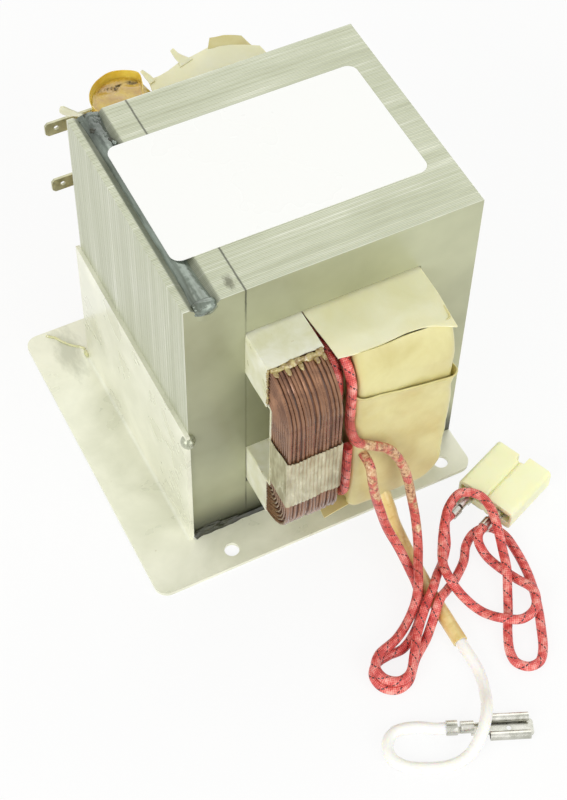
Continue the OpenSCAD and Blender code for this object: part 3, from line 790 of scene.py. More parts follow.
@dataclass(frozen=True)
class Braided(Finish):
    """Glass yarn braided over a lead, with dark tracer yarns and a varnished stretch.

    To the eye it is coral red with a fine slanted weave, short dark dashes along two
    slanting tracers, and tan patches where the coil's varnish soaked in.

    Attributes:
        tracer: the tracer's colour, sRGB.
        pitch_mm: length of one turn of a yarn.
        yarns: yarns side by side each way; fewer than the real 16, so that they show.
        tracers: dark yarns among them, all slanting the same way.
        varnish: colour of the stretch that the coil's varnish has soaked.
        dulled_and_shaded: the red there between the varnish's patches, dulled by varnish and
            darker as painted shade, sRGB.
        varnish_mm: where that stretch starts and ends, along the lead.
        faded_mm: size of the paler and darker patches in the dye.
        wet_mm: size of the patches that the varnish soaked.
        crust_mm: size of the grain in the set varnish.
    """

    tracer: str = "35171a"
    pitch_mm: float = 8.4
    yarns: int = 8
    tracers: int = 2
    varnish: str = "d4ab7a"
    dulled_and_shaded: str = "ad4634"
    varnish_mm: tuple[float, float] = (0.0, 0.0)
    faded_mm: float = 2.6316
    wet_mm: float = 3.3333
    crust_mm: float = 1.1111

    def dress(
        self, tree: bpy.types.NodeTree, shader: bpy.types.Node, position: bpy.types.NodeSocket
    ) -> None:
        """Crossing yarns painted pale on their crests and dark in their gaps as light and shade,
        the tracer's dashes and the varnished stretch.

        Args:
            tree: the material's tree.
            shader: its Principled shader.
            position: the place on the object, in metres.
        """
        add = partial(add_node, tree)
        uv = add("UVMap", {"uv_map": "along"})
        parts = add("SeparateXYZ", links={0: uv})
        turns = add(
            "Math", {"operation": "MULTIPLY", 1: 1000 / self.pitch_mm}, {0: parts.outputs["X"]},
        )
        slants, waves = [], []
        for way in ("ADD", "SUBTRACT"):
            slant = add("Math", {"operation": way}, {0: turns, 1: parts.outputs["Y"]})
            angle = add("Math", {"operation": "MULTIPLY", 1: self.yarns * math.tau}, {0: slant})
            wave = add("Math", {"operation": "SINE"}, {0: angle})
            slants.append(slant)
            waves.append(wave)
        weave = add("Math", {"operation": "MULTIPLY"}, {0: waves[0], 1: waves[1]})
        patches = add(
            "TexNoise", {"Scale": 1000 / self.faded_mm, "Detail": 3.0, "Roughness": 0.6},
            {"Vector": position},
        )
        # Painted light and shade: where the weave's crests and the dye's patches run high the red
        # turns pale pink as painted highlight, and dark red in the gaps as painted shade.
        weave_light_and_dye = add(
            "Math", {"operation": "MULTIPLY_ADD", 1: 0.12}, {0: weave, 2: patches.outputs["Fac"]},
        )
        yarn = add(
            "ValToRGB",
            {
                "stops": (
                    (0.3, "b5302f"), (0.5, self.colour), (0.7, "fbb0a4"),
                ),
            },
            {"Fac": weave_light_and_dye},
        )
        starts = add("Math", {"operation": "MULTIPLY", 1: self.tracers}, {0: slants[0]})
        place_in_turn = add("Math", {"operation": "FRACT"}, {0: starts})
        line = add("Math", {"operation": "COMPARE", 1: 0.5, 2: 0.062}, {0: place_in_turn})
        crossing = add("Math", {"operation": "MULTIPLY", 1: 5 * math.tau}, {0: slants[1]})
        beat = add("Math", {"operation": "SINE"}, {0: crossing})
        on_top = add("Math", {"operation": "GREATER_THAN", 1: -0.5}, {0: beat})
        dash = add("Math", {"operation": "MULTIPLY"}, {0: line, 1: on_top})
        traced = add("Mix", {"data_type": "RGBA", 7: linear(self.tracer)}, {0: dash, 6: yarn})
        start, end = (value * MM for value in self.varnish_mm)
        half = (end - start) / 2
        distance = self.away_from(tree, parts.outputs["X"], sum(self.varnish_mm) / 2)
        fading = add(
            "MapRange",
            {"From Min": 0.8 * half, "From Max": half + MM, "To Min": 0.2, "To Max": -0.3},
            {"Value": distance},
        )
        wet = add(
            "TexNoise", {"Scale": 1000 / self.wet_mm, "Detail": 2.0, "Roughness": 0.5},
            {"Vector": position},
        )
        level = add("Math", {"operation": "ADD"}, {0: fading, 1: wet.outputs["Fac"]})
        # Painted shade with varnish: the red darkens towards the lead's start, near the coil.
        dulled_and_shaded_share = add(
            "MapRange",
            {
                "From Min": start, "From Max": end + 0.05, "To Min": 0.6 if end else 0.0,
                "To Max": 0.0,
            },
            {"Value": parts.outputs["X"]},
        )
        dulled_and_shaded = add(
            "Mix", {"data_type": "RGBA", 7: linear(self.dulled_and_shaded)},
            {0: dulled_and_shaded_share, 6: traced.outputs[2]},
        )
        crust = add(
            "TexNoise", {"Scale": 1000 / self.crust_mm, "Detail": 3.0, "Roughness": 0.6},
            {"Vector": position},
        )
        varnish = add(
            "ValToRGB",
            {"stops": ((0.36, "7a5238"), (0.5, self.varnish), (0.66, "eed9b0"))},
            {"Fac": crust.outputs["Fac"]},
        )
        soaked = add(
            "MapRange", {"From Min": 0.58, "From Max": 0.7, "To Max": 0.85 if end else 0.0},
            {"Value": level},
        )
        base = add("Mix", {"data_type": "RGBA"}, {0: soaked, 6: dulled_and_shaded.outputs[2], 7: varnish})
        bump = add("Bump", {"Strength": 0.6, "Distance": 0.12 * MM}, {"Height": weave})
        tree.links.new(base.outputs[2], shader.inputs["Base Color"])
        tree.links.new(bump.outputs[0], shader.inputs["Normal"])


class Finishes:
    """Every finish of the object, built once."""

    def __init__(self) -> None:
        """Builds the materials."""
        # Olive grey flats and finely hatched edges under a soft sheen of varnish.
        self.core = LaminatedSteel(
            "varnished silicon steel, punched and stacked", "9b9d7e", 0.4, 0.25, 1.5, 0.25
        ).build()
        # Dark glossy grey-green metal with streaks along the run.
        self.weld = Mottled(
            "mild steel weld bead under varnish", "9aa79c", 0.26, 0.45, 1.5, 0.6,
            other="545c4e", patch_mm=3, stretch=(1.0, 0.12, 1.0), grain_mm=1.2, grain=0.3,
            cloud=((-37.2, 32.0, 105.6), (4.5, 9.0, 4.0)), cloud_tone="3b433b",
        ).build()
        # Nearly black varnish over metal, glossy where it gathered; at the foot its darkness also
        # paints the shade.
        self.pooled_and_shade = Mottled(
            "weld metal under pooled varnish", "3a3c28", 0.5, 0.0, 1.5, 0.1,
            other="1f2114", patch_mm=4, grain_mm=1.5, grain=0.3,
        ).build()
        # Pale grey-green drop with a soft shine.
        self.tack = Mottled(
            "tack weld through zinc, under varnish", "c4c7b2", 0.3, 0.4, 1.5, 0.4,
            other="8f937c", patch_mm=2, grain_mm=0.8, grain=0.2,
        ).build()
        # Cream grey sheet, glossy, with grey clouds and small brown specks.
        self.zinc = Mottled(
            "zinc-plated steel, cold rolled and varnished", "f4f4e1", 0.34, 0.12, 1.5, 0.35,
            other="dcddc7", cloud=((-50.0, 42.0, 1.2), (5.0, 11.0, 5.0)), cloud_tone="bbbda6",
            patch_mm=17, grain_mm=0.8, grain=0.1,
            stain="b3ab8a", stain_share=0.16,
        ).build()
        # Plain white film with an even satin sheen.
        self.label = Mottled(
            "polyester label film, coated white", "fafaf8", 0.34, 0.0, 1.5, 0.2,
            other="f8f8f5", patch_mm=70, grain_mm=2.5, grain=0.05,
        ).build()
        # Pale cream-green board, slightly cloudy, a little light through thin edges.
        self.paper = Mottled(
            "electrical pressboard, varnish soaked", "f6f2cc", 0.42, 0.0, 1.5, 0.15,
            other="ece6b4", patch_mm=13, grain_mm=0.5, grain=0.2,
            stain="cbb868", stain_share=0.04, light_through=0.25,
        ).build()
        # The same board, deeper yellow where it lies double and the varnish stayed, and darker as
        # painted shade on the faces that look forward.
        self.paper_deep_and_shaded = Mottled(
            "electrical pressboard, laid double, darker as painted shade", "dfd79d", 0.4, 0.0, 1.5, 0.2,
            other="cfc384", patch_mm=11, grain_mm=0.5, grain=0.2,
            stain="bfa95c", stain_share=0.05, light_through=0.12,
        ).build()
        # Whiter paper with yellow-brown varnish at its edges and folds.
        self.liner = Mottled(
            "fibre slot paper, varnish soaked", "f5f4e2", 0.38, 0.0, 1.5, 0.25,
            other="e3e1be", patch_mm=6, grain_mm=0.5, grain=0.25,
            stain="b39a4e", stain_share=0.2, light_through=0.1,
        ).build()
        # Light brown-rose wire with a gloss line along each turn.
        self.copper = Mottled(
            "enamelled copper wire, drawn and dipped", "9f7353", 0.28, 0.5, 1.5, 0.5,
            other="6b452d", patch_mm=7, grain_mm=0.7, grain=0.1,
            stain="4a2e1a", stain_share=0.2,
        ).build()
        # Painted shade: dark brown that stands for the wires deep between the outer turns.
        self.shaded_copper = Mottled(
            "enamelled copper wire in the shade of the outer layer", "6a4431", 0.6, 0.0, 1.5, 0.1,
            other="3c2518", patch_mm=4, grain_mm=0.7, grain=0.2,
        ).build()
        # Brown to pale olive varnish that set in glossy lumps; its near-white spots are painted
        # glints.
        self.resin = Mottled(
            "impregnating varnish, set in lumps", "c6b87c", 0.16, 0.0, 1.53, 0.5,
            other="7d5a2c", patch_mm=1.8, grain_mm=0.9, grain=0.4, light_through=0.2,
            stain="efeac6", stain_share=0.35,
        ).build()
        # Pale yellow clear varnish in a thin run.
        self.pale_varnish = Mottled(
            "impregnating varnish, thin run", "e6e4ae", 0.2, 0.0, 1.53, 0.5,
            other="cdcd98", patch_mm=3, grain_mm=0.9, grain=0.3, light_through=0.3,
        ).build()
        # Bright white-grey metal that mirrors its surroundings softly.
        self.tin = Mottled(
            "tinned brass, stamped", "dddcd4", 0.28, 1.0, 1.5, 0.0,
            other="b4b4a8", patch_mm=3, grain_mm=0.4, grain=0.08,
        ).build()
        # The same metal, duller and yellower where varnish fogs it.
        self.dull_tin = Mottled(
            "tinned brass, stamped, fogged by varnish", "c9c8aa", 0.42, 0.5, 1.5, 0.2,
            other="a3a283", patch_mm=3, grain_mm=0.4, grain=0.1,
        ).build()
        # Pale yellow-green, soft-edged, with light passing through it.
        self.nylon = Mottled(
            "natural nylon 66, moulded", "fbf9d2", 0.34, 0.0, 1.53, 0.0,
            other="f7f4c1", patch_mm=14, grain_mm=0.5, grain=0.06, light_through=0.6,
        ).build()
        # Milky white, soft sheen.
        self.silicone = Mottled(
            "silicone rubber, extruded", "fdfcf8", 0.32, 0.0, 1.43, 0.0,
            other="f8f7f0", patch_mm=18, grain_mm=0.6, grain=0.05, light_through=0.5,
        ).build()
        # Straw yellow tube, cloudy where its resin is thin.
        self.sleeving = Mottled(
            "glass sleeving, resin coated", "f0e0a2", 0.3, 0.0, 1.5, 0.2,
            other="dcbf72", patch_mm=8, grain_mm=0.5, grain=0.2, light_through=0.3,
        ).build()
        # Golden film, darker where its layers overlap.
        self.amber = Mottled(
            "polyester film tape, amber", "f2d352", 0.2, 0.0, 1.6, 0.4,
            other="dca928", patch_mm=9, grain_mm=1.5, grain=0.2, light_through=0.3,
        ).build()
        # The same film where it lies double: brown gold.
        self.amber_deep = Mottled(
            "polyester film tape, amber, laid double", "e6c23c", 0.24, 0.0, 1.6, 0.4,
            other="bd8a20", patch_mm=5, grain_mm=1.5, grain=0.3, light_through=0.2,
        ).build()
        # Greyish film, half clear, so that the wires show through it.
        self.clear_tape = Mottled(
            "glass cloth tape, resin soaked", "e6e1bf", 0.2, 0.0, 1.5, 0.5,
            other="b0a682", patch_mm=4, stretch=(1.6, 1.6, 0.6), grain_mm=0.8, grain=0.3,
            light_through=0.1, alpha=0.76,
            cloud=((-8.6, -58.0, 42.0), (5.6, 9.0, 16.0)), cloud_tone="7f7757",
        ).build()
        # Coral red weave, clean.
        self.braid = Braided("glass braid, dyed red", "e6564f", 0.5, coat=0.3).build()
        # The same weave, tan and blotchy along its first stretch.
        self.braid_left = Braided(
            "glass braid, dyed red, varnished at its start", "e6564f", 0.5, coat=0.4,
            varnish_mm=(9, 66),
        ).build()
        # The same weave, tan only at its exit.
        self.braid_right = Braided(
            "glass braid, dyed red, varnished below the paper", "e6564f", 0.5, coat=0.4,
            varnish_mm=(-20, 21),
        ).build()


@dataclass
class Stage:
    """The photograph's camera over a plain pale floor.

    Attributes:
        position_mm: where the camera stands.
        azimuth: its turn about the object, in degrees; 0 looks along +Y.
        elevation: its height angle, in degrees.
        roll: its roll, in degrees.
        lens_mm: focal length on a sensor 36 mm high.
        key_watts: lamp at the upper left.
        fill_watts: lamp at the front right.
        rear_watts: lamp behind.
        world_strength: light from all round.
        glow_share: how much of the floor's white is its own when it is looked at.
    """

    position_mm: Point = (-154.6, -300.0, 461.7)
    azimuth: float = -28.08
    elevation: float = 54.02
    roll: float = 1.6
    lens_mm: float = 81.78
    key_watts: float = 5.6
    fill_watts: float = 4.0
    rear_watts: float = 2.3
    world_strength: float = 0.55
    glow_share: float = 0.86

    def camera(self) -> None:
        """Sets up the camera at the photograph's angle."""
        az, el, roll = (math.radians(v) for v in (self.azimuth, self.elevation, self.roll))
        back = Vector((math.sin(az) * math.cos(el), -math.cos(az) * math.cos(el), math.sin(el)))
        right = Vector((0, 0, 1)).cross(back).normalized()
        up = back.cross(right)
        turned = right * math.cos(roll) + up * math.sin(roll)
        up = up * math.cos(roll) - right * math.sin(roll)
        data = bpy.data.cameras.new("camera")
        data.sensor_fit = "VERTICAL"
        data.sensor_height = 36.0
        data.lens = self.lens_mm
        data.clip_start = 0.01
        data.dof.use_dof = False
        camera = bpy.data.objects.new("camera", data)
        axes = Matrix((turned, up, back)).transposed().to_4x4()
        camera.matrix_world = Matrix.Translation(mm(*self.position_mm)) @ axes
        bpy.context.scene.collection.objects.link(camera)
        bpy.context.scene.camera = camera

    def lamp(self, name: str, at: Point, size: float, power: float, aim: Point) -> None:
        """Adds one soft lamp.

        Args:
            name: its name.
            at: where it stands, in metres.
            size: side of its square, in metres.
            power: in watts.
            aim: the point that it faces.
        """
        data = bpy.data.lights.new(name, "AREA")
        data.size = size
        data.energy = power
        lamp = bpy.data.objects.new(name, data)
        lamp.location = at
        lamp.rotation_euler = (Vector(aim) - Vector(at)).to_track_quat("-Z", "Y").to_euler()
        bpy.context.scene.collection.objects.link(lamp)

    def background_rays(self, tree: bpy.types.NodeTree) -> bpy.types.NodeSocket:
        """A socket that is 1 for rays that see the background itself, in a glossy face too.

        Args:
            tree: the tree that asks.

        Returns:
            The socket.
        """
        add = partial(add_node, tree)
        rays = add("LightPath")
        seen = rays.outputs["Is Camera Ray"]
        for kind in ("Is Glossy Ray", "Is Transmission Ray"):
            either = add("Math", {"operation": "MAXIMUM"}, {0: seen, 1: rays.outputs[kind]})
            seen = either.outputs[0]
        return seen

    def lights(self) -> None:
        """Three soft boxes and a pale world."""
        self.lamp("key", (-0.9, -0.4, 0.52), 0.7, self.key_watts, (0, 0, 0.05))
        self.lamp("fill", (0.35, -0.85, 0.5), 0.7, self.fill_watts, (0, -0.04, 0.04))
        self.lamp("rear", (0.35, 0.6, 0.7), 0.8, self.rear_watts, (0, 0, 0.06))
        world = bpy.data.worlds.new("studio")
        bpy.context.scene.world = world
        world.use_nodes = True
        tree = world.node_tree
        add = partial(add_node, tree)
        tree.nodes.clear()
        plain = add("Background", {"Color": linear("f6f7f4"), "Strength": self.world_strength})
        white = add("Background", {"Color": linear("ffffff")})
        mixed = add("MixShader", links={0: self.background_rays(tree), 1: plain, 2: white})
        add("OutputWorld", links={"Surface": mixed})

    def floor(self) -> None:
        """A white floor that keeps a faint shadow."""
        material = bpy.data.materials.new("white board, painted")
        material.use_nodes = True
        tree = material.node_tree
        add = partial(add_node, tree)
        tree.nodes.clear()
        half = 3.0
        shade_mm = 66.667
        # With no link the pattern runs from 0 to 1 over the whole floor.
        grain = add("TexNoise", {"Scale": 2 * half / (shade_mm * MM), "Detail": 2.0})
        tone = add(
            "ValToRGB", {"stops": ((0.3, "f4f4f2"), (0.7, "f8f8f6"))},
            {"Fac": grain.outputs["Fac"]},
        )
        matt = add("BsdfDiffuse", {}, {"Color": tone})
        glow = add("Emission", {"Color": linear("ffffff"), "Strength": 1.0})
        share = add(
            "Math", {"operation": "MULTIPLY", 1: self.glow_share},
            {0: self.background_rays(tree)},
        )
        mixed = add("MixShader", links={0: share, 1: matt, 2: glow})
        add("OutputMaterial", links={"Surface": mixed})
        mesh = bpy.data.meshes.new("floor")
        corners = [(-half, -half, 0), (half, -half, 0), (half, half, 0), (-half, half, 0)]
        mesh.from_pydata(corners, [], [(0, 1, 2, 3)])
        mesh.materials.append(material)
        floor = bpy.data.objects.new("floor", mesh)
        bpy.context.scene.collection.objects.link(floor)

    def build(self) -> None:
        """Sets up camera, light, floor and colour."""
        bpy.context.scene.view_settings.view_transform = "Standard"
        self.camera()
        self.lights()
        self.floor()


class FarEnd(Enum):
    """What the far end of a lead is on."""

    TERMINAL = "connector"
    BARE = "bare"


@dataclass
class Lead:
    """A free lead along the route that its CAD solid takes.

    Attributes:
        name: the piece's name.
        node: the CAD node that it replaces.
        route_mm: the route's points, as in the part's source.
        diameter_mm: over its insulation.
        far_end: what its far end is on.
        slot: a material slot's name, handed on to place.
        with_nodes: CAD nodes that go with it.
    """

    name: str
    node: str
    route_mm: Sequence[Point]
    diameter_mm: float
    far_end: FarEnd
    slot: str
    with_nodes: Sequence[str] = ()

    def build(self, nodes: dict, finish: bpy.types.Material) -> bpy.types.Object:
        """Args:
            nodes: the frame's CAD nodes.
            finish: its material.

        Returns:
            The lead.
        """
        radius = self.diameter_mm / 2 * MM
        points = [mm(*p) for p in self.route_mm]
        path = smooth_route(points, 0.8 * MM, radius)
        piece = place(self.name, tube(path, radius, 16), [finish], self.slot, [self.node])
        [nodes[n] for n in self.with_nodes]
        return piece


LEFT_ROUTE = (
    (-5.3, -58.4, 66), (-5.3, -58.4, 62), (-5.2, -59.3, 59), (-4.7, -61, 56.4), (-2.6, -61.6, 54),
    (0.4, -62.1, 52), (5.2, -62.6, 48), (9, -63.4, 41), (11.6, -64.4, 32),
    (13, -65.8, 22.5), (13.6, -68.6, 13.5), (11.8, -73.8, 9.2), (8.8, -79.4, 8),
    (6, -84.6, 7.9), (2.8, -88.8, 5.8), (-1.4, -92.2, 3.6), (-7.4, -96, 4),
    (-14.4, -98.4, 4.2), (-16.9, -101.5, 4.2), (-16.3, -105.5, 4.2), (-13.1, -108, 4.2),
    (-9.2, -107.4, 4.2), (-5, -102.4, 4.2), (-0.6, -96.6, 4.2), (4.6, -91.4, 5.6),
    (9.5, -87.2, 6.2), (13.4, -83, 4.4), (18, -78.6, 1.8), (22, -73.8, 2),
    (23.3, -70.6, 4), (25, -67.91, 4.8), (27.34, -66.94, 4.8),
)
RIGHT_ROUTE = (
    (-1.2, -59.9, 46.5), (-1.2, -62.4, 46.5), (-1.3, -64.8, 45.6), (-1.4, -66, 43),
    (-0.6, -66.8, 36), (1.6, -67.2, 26), (4, -68.6, 16), (6.4, -72.4, 8.6), (7, -78, 5),
    (6.4, -84, 4),
    (4.2, -90, 2), (-0.4, -95, 1.4), (-6.4, -98.4, 1.4), (-11, -98.4, 1.4),
    (-15.4, -99.3, 1.4), (-17.9, -102.4, 1.4), (-17.3, -106.4, 1.4), (-14.1, -108.9, 1.4),
    (-10.2, -108.3, 1.4), (-4.6, -102.8, 1.4), (1.2, -98.6, 1.4), (5.2, -95.2, 4),
    (9.6, -91.2, 6.4), (13.6, -88.4, 3.8), (19, -84.8, 1.4), (24, -80.8, 1.4),
    (27.4, -76.4, 1.4), (31.6, -73.8, 1.4), (36.4, -74, 1.4), (39.2, -78, 1.4),
    (39.6, -85, 1.4), (38.6, -93.5, 1.4), (36, -102.5, 1.4), (32.8, -110, 1.4),
    (29.3, -116.7, 1.4), (26.6, -119.2, 1.4), (23.1, -119.1, 1.4), (20.6, -116.4, 1.4),
    (20.7, -112.9, 1.4), (23.4, -107, 1.4), (26.8, -101.6, 1.4), (29.8, -96, 2.6),
    (32.6, -90.4, 4.7), (34.8, -84.4, 4.8), (36.4, -78, 7.4), (37.6, -72, 8.4),
    (36.8, -66.4, 8.4), (32.4, -63.4, 8.4), (27, -65.8, 8.4), (23.2, -69.8, 7.4),
    (19.4, -75.4, 5.7), (16.4, -81, 6.1), (15.2, -87, 7), (16.8, -92.6, 4.2),
    (20, -98, 1.8), (23.4, -103.6, 4.2), (28.4, -106.4, 4.4), (33.6, -104.8, 4.4),
    (36.2, -99.6, 4.3), (34.5, -93.2, 2.2), (32.4, -87.6, 1.4), (30.6, -82.4, 2),
    (30.2, -78.4, 3.9), (31.1, -76.6, 4.6), (32.2, -75.75, 4.8), (33.75, -75.1, 4.8),
)
SLEEVE_ROUTE = (
    (7.6, -58.31, 19.79), (7.7, -60.2, 17.8), (8.3, -62, 14), (8.8, -63.8, 9.6),
    (9.7, -67.2, 5), (10.1, -72.6, 2.2), (9.7, -80, 2.2), (9.4, -88, 2.2), (9.4, -96, 2.2),
    (9.4, -104, 2.2),
)
HIGH_VOLTAGE_ROUTE = (
    (9.4, -104, 2.2), (9.4, -107, 2.2), (9.6, -111, 1.8), (9.3, -115.2, 1.7), (7.6, -120.6, 2.6),
    (4.2, -127, 5.4), (-0.8, -132.6, 5.2), (-6.4, -135.6, 2.6), (-12.6, -135.6, 1.7),
    (-18.8, -133.2, 1.7), (-23, -130.6, 1.7), (-25.4, -126.8, 1.7), (-24.6, -122.6, 1.7),
    (-21, -120.2, 1.7), (-15.2, -121.4, 1.7), (-10.5, -124.41, 2.15), (-7.7, -125.6, 2.15),
)


@dataclass
class Bench:
    """The frame's CAD nodes and the finishes, as every piece needs them.

    Attributes:
        nodes: the CAD nodes by name.
        finishes: the finishes.
    """

    nodes: dict[str, bpy.types.Object]
    finishes: Finishes

    def dress(self, finish: bpy.types.Material, *names: str) -> None:
        """Gives CAD nodes a finish.

        Args:
            finish: the material.
            names: the nodes.
        """
        for name in names:
            for slot in self.nodes[name].material_slots:
                slot.material = finish
            LOG.info("%s: dressed", name)


@dataclass
class Core:
    """Laminated E and I stacks, and the weld beads on them.

    Attributes:
        top: height of the core's top.
        foot: height of its underside.
        half_depth: half the depth of the stack.
        weld_x: place of both beads.
        notch_rise: centre of the bead's groove above the core's end.
        notch_r: radius of the groove.
        crest: height of the bead's crest over the core's end.
        half_width: half the bead's width in the middle and at its ends.
        ripple: height of the bead's ripples.
    """

    top: float = 106.2
    foot: float = 1.2
    half_depth: float = 37.5
    weld_x: float = -37.55
    notch_rise: float = 3.2
    notch_r: float = 5.3
    crest: float = -0.3
    half_width: tuple[float, float] = (2.4, 3.1)
    ripple: float = 0.06

    def groove(self, x: float) -> float:
        """Height of the groove's floor at a distance from its middle."""
        return self.notch_rise - math.sqrt(self.notch_r**2 - x**2)

    def plug(self, level: float, at: float, side: int, radius: float) -> Shape:
        """Steel round a bead's end, flush with the core's face.

        Args:
            level: height of its middle.
            at: the face, along Y.
            side: -1 in front, 1 behind.
            radius: half its width.

        Returns:
            The disc.
        """
        rings, sides = [], 28
        for out, share in ((-1.5, 1.0), (0.01, 1.0), (0.03, 0.98), (0.03, 0.02)):
            ring = []
            for k in range(sides):
                turn = -side * math.tau * k / sides
                x, z = radius * share * math.cos(turn), radius * share * math.sin(turn)
                ring.append(mm(self.weld_x + x, at + side * out, max(level + z, self.foot)))
            rings.append(ring)
        return loft(rings)

    def bead(self, level: float, up: int) -> Shape:
        """The run of a bead: shallow, streaked lengthwise, wider at its ends.

        Args:
            level: height of the core's face that it lies in.
            up: 1 where that face looks up, -1 where it looks down.

        Returns:
            The run.
        """
        steps, cells = 190, 16
        reach = self.half_depth + 0.3
        rings = []
        for i in range(steps + 1):
            y = -reach + 2 * reach * i / steps
            near_end = abs(y / reach) ** 4
            half_w = self.half_width[0] + (self.half_width[1] - self.half_width[0]) * near_end
            half_w += 0.2 * wander(11, y * 0.2)
            upper, lower = [], []
            for k in range(cells + 1):
                share = 1 - 2 * k / cells
                x = half_w * share
                arc = self.crest + (self.groove(half_w) - self.crest) * share * share
                lift = self.ripple * math.sin(math.tau * (y + 0.12 * x * x) / 2.3)
                lift += 0.22 * wander(5, x * 1.3, y * 0.09) + 0.08 * wander(6, x * 0.8, y * 0.5)
                crown = arc + lift * (1 - share * share)
                upper.append(mm(self.weld_x + x, y, level + up * crown))
                if 0 < k < cells:
                    lower.append(mm(self.weld_x - x, y, level + up * self.groove(x)))
            rings.append((upper + lower)[::up])
        return loft(rings)

    def foot_varnish_and_shade(self) -> Shape:
        """Varnish that set along the core's foot, in front and behind, near black so that it
        paints the shade there too.
        """
        left, right = -43.4, 10.0
        shape = Shape.empty()
        for side in (-1, 1):
            path, steps = [], 89
            for i in range(steps + 1):
                x = left + (right - left) * i / steps
                y = side * (self.half_depth + 0.35 + 0.2 * wander(21 + side, x * 0.3))
                path.append(mm(x, y, 1.45 + 0.15 * wander(22, x * 0.4)))

            def thick(along: float, angle: float, side: int = side) -> float:
                """Its uneven radius."""
                spread = 1.0 + 0.5 * max(0.0, 1 - along / MM / 16)
                return spread * (0.95 + 0.35 * wander(23 + side, along / MM * 0.3, angle)) * MM

            shape.add(tube(path, thick, 10))
        return shape

    def spill(self) -> Shape:
        """A thin run of varnish over the base sheet's rear left corner, and its drop."""
        run, steps = [], 29
        for i in range(steps + 1):
            share = i / steps
            along = mm(-54.0, 51.2, self.foot).lerp(mm(-45.4, 40.6, self.foot), share)
            run.append(along + mm(0.5 * wander(57, share * 3), 0.6 * wander(58, share * 4), 0))
        spill = tube(run, lambda s, a: (0.4 + 0.3 * wander(59, s / MM * 0.3, a)) * MM, 8)
        return spill.add(blob(mm(-45.3, 38.6, 1.5), mm(0.8, 1.5, 0.7), 0.3, 49))

    def build(self, bench: Bench) -> None:
        """Dresses the stacks and sets the beads.

        Args:
            bench: nodes and finishes.
        """
        made = bench.finishes
        bench.dress(made.core, "e_core", "i_core", "shunt_upper", "shunt_lower")
        upper = self.bead(self.top, 1)
        upper.add(blob(mm(-37.4, -36.3, self.top - 2.0), mm(3.9, 2.1, 2.3), 0.12, 1))
        upper.add(blob(mm(-37.7, 36.2, self.top - 2.2), mm(3.4, 2.2, 2.2), 0.2, 2))
        for i in range(12):
            x = self.weld_x + 3.2 * wander(26, i * 1.7)
            y = 36.9 - 1.35 * i * (1 + 0.3 * wander(27, i))
            size = 0.5 + 0.4 * wander(28, i * 2.3)
            drop = blob(mm(x, y, self.top - 0.75), mm(1.6, 2.2, 0.8) * size, 0.6, 30 + i)
            upper.add(drop, 0 if i % 4 else 2)
        lower = self.bead(self.foot, -1)
        for side in (-1, 1):
            at = side * self.half_depth
            upper.add(self.plug(102.7, at, side, 2.55), 1)
            lower.add(self.plug(self.foot, at, side, 5.2), 1)
            # The foot's dark lumps: weld under gathered varnish, near black to paint the shade at
            # the foot too.
            lower.add(blob(mm(-39.0, at + side * 0.1, 2.3), mm(4.5, 1.0, 1.6), 0.4, 3 + side))
            lower.add(blob(mm(-32.6, at + side * 0.1, 1.9), mm(4.6, 0.8, 1.1), 0.5, 6 + side))
        place("top_bead", upper, [made.weld, made.core, made.pooled_and_shade], "weld", ["top_weld_bead"])
        place("foot_bead", lower, [made.pooled_and_shade, made.core], "weld", ["bottom_weld_bead"])
        bench.dress(made.tack, "wall_tack_weld")
        place("foot_varnish_and_shade", self.foot_varnish_and_shade(), [made.pooled_and_shade], "weld")
        place("base_varnish", self.spill(), [made.pale_varnish], "zinc_sheet")


@dataclass
class BaseSheet:
    """The plated sheet that the core stands on, with its folded side wall."""

    def build(self, bench: Bench) -> None:
        """Dresses the sheet."""
        bench.dress(bench.finishes.zinc, "base_plate")


@dataclass
class Label:
    """The blank label on the core."""

    def build(self, bench: Bench) -> None:
        """Dresses the label."""
        bench.dress(bench.finishes.label, "label_panel")


def patch(
    edges: tuple[Sequence[tuple[float, float]], ...],
    height: Callable[[float, float], float],
    across: int,
    down: int,
    thickness: float,
) -> Shape:
    """A flat paper whose outline is given by four edges and its height by a function.

    Args:
        edges: left and right edge, each from the front back, then front and rear edge,
            each from left to right, as (x, y) points in millimetres.
        height: height for each (x, y), in millimetres.
        across: cells from left to right.
        down: cells from the front back.
        thickness: in millimetres.

    Returns:
        The paper.
    """
    tables = []
    for edge in edges:
        run = [0.0]
        for (x0, y0), (x1, y1) in zip(edge, edge[1:]):
            run.append(run[-1] + math.hypot(x1 - x0, y1 - y0))
        tables.append(
            [[(s / run[-1], point[axis]) for s, point in zip(run, edge)] for axis in (0, 1)]
        )

    def surface(a: float, b: float) -> Vector:
        """Blends the four edges.

        Args:
            a: share from left to right.
            b: share from the front back.

        Returns:
            The point, in metres.
        """
        plan = []
        for axis in (0, 1):
            left, right, front, rear = (table[axis] for table in tables)
            sides = (1 - a) * along_table(left, b) + a * along_table(right, b)
            ends = (1 - b) * along_table(front, a) + b * along_table(rear, a)
            corners = (1 - b) * ((1 - a) * left[0][1] + a * right[0][1])
            corners += b * ((1 - a) * left[-1][1] + a * right[-1][1])
            plan.append(sides + ends - corners)
        return mm(plan[0], plan[1], height(plan[0], plan[1]))

    return sheet(surface, across, down, thickness * MM)


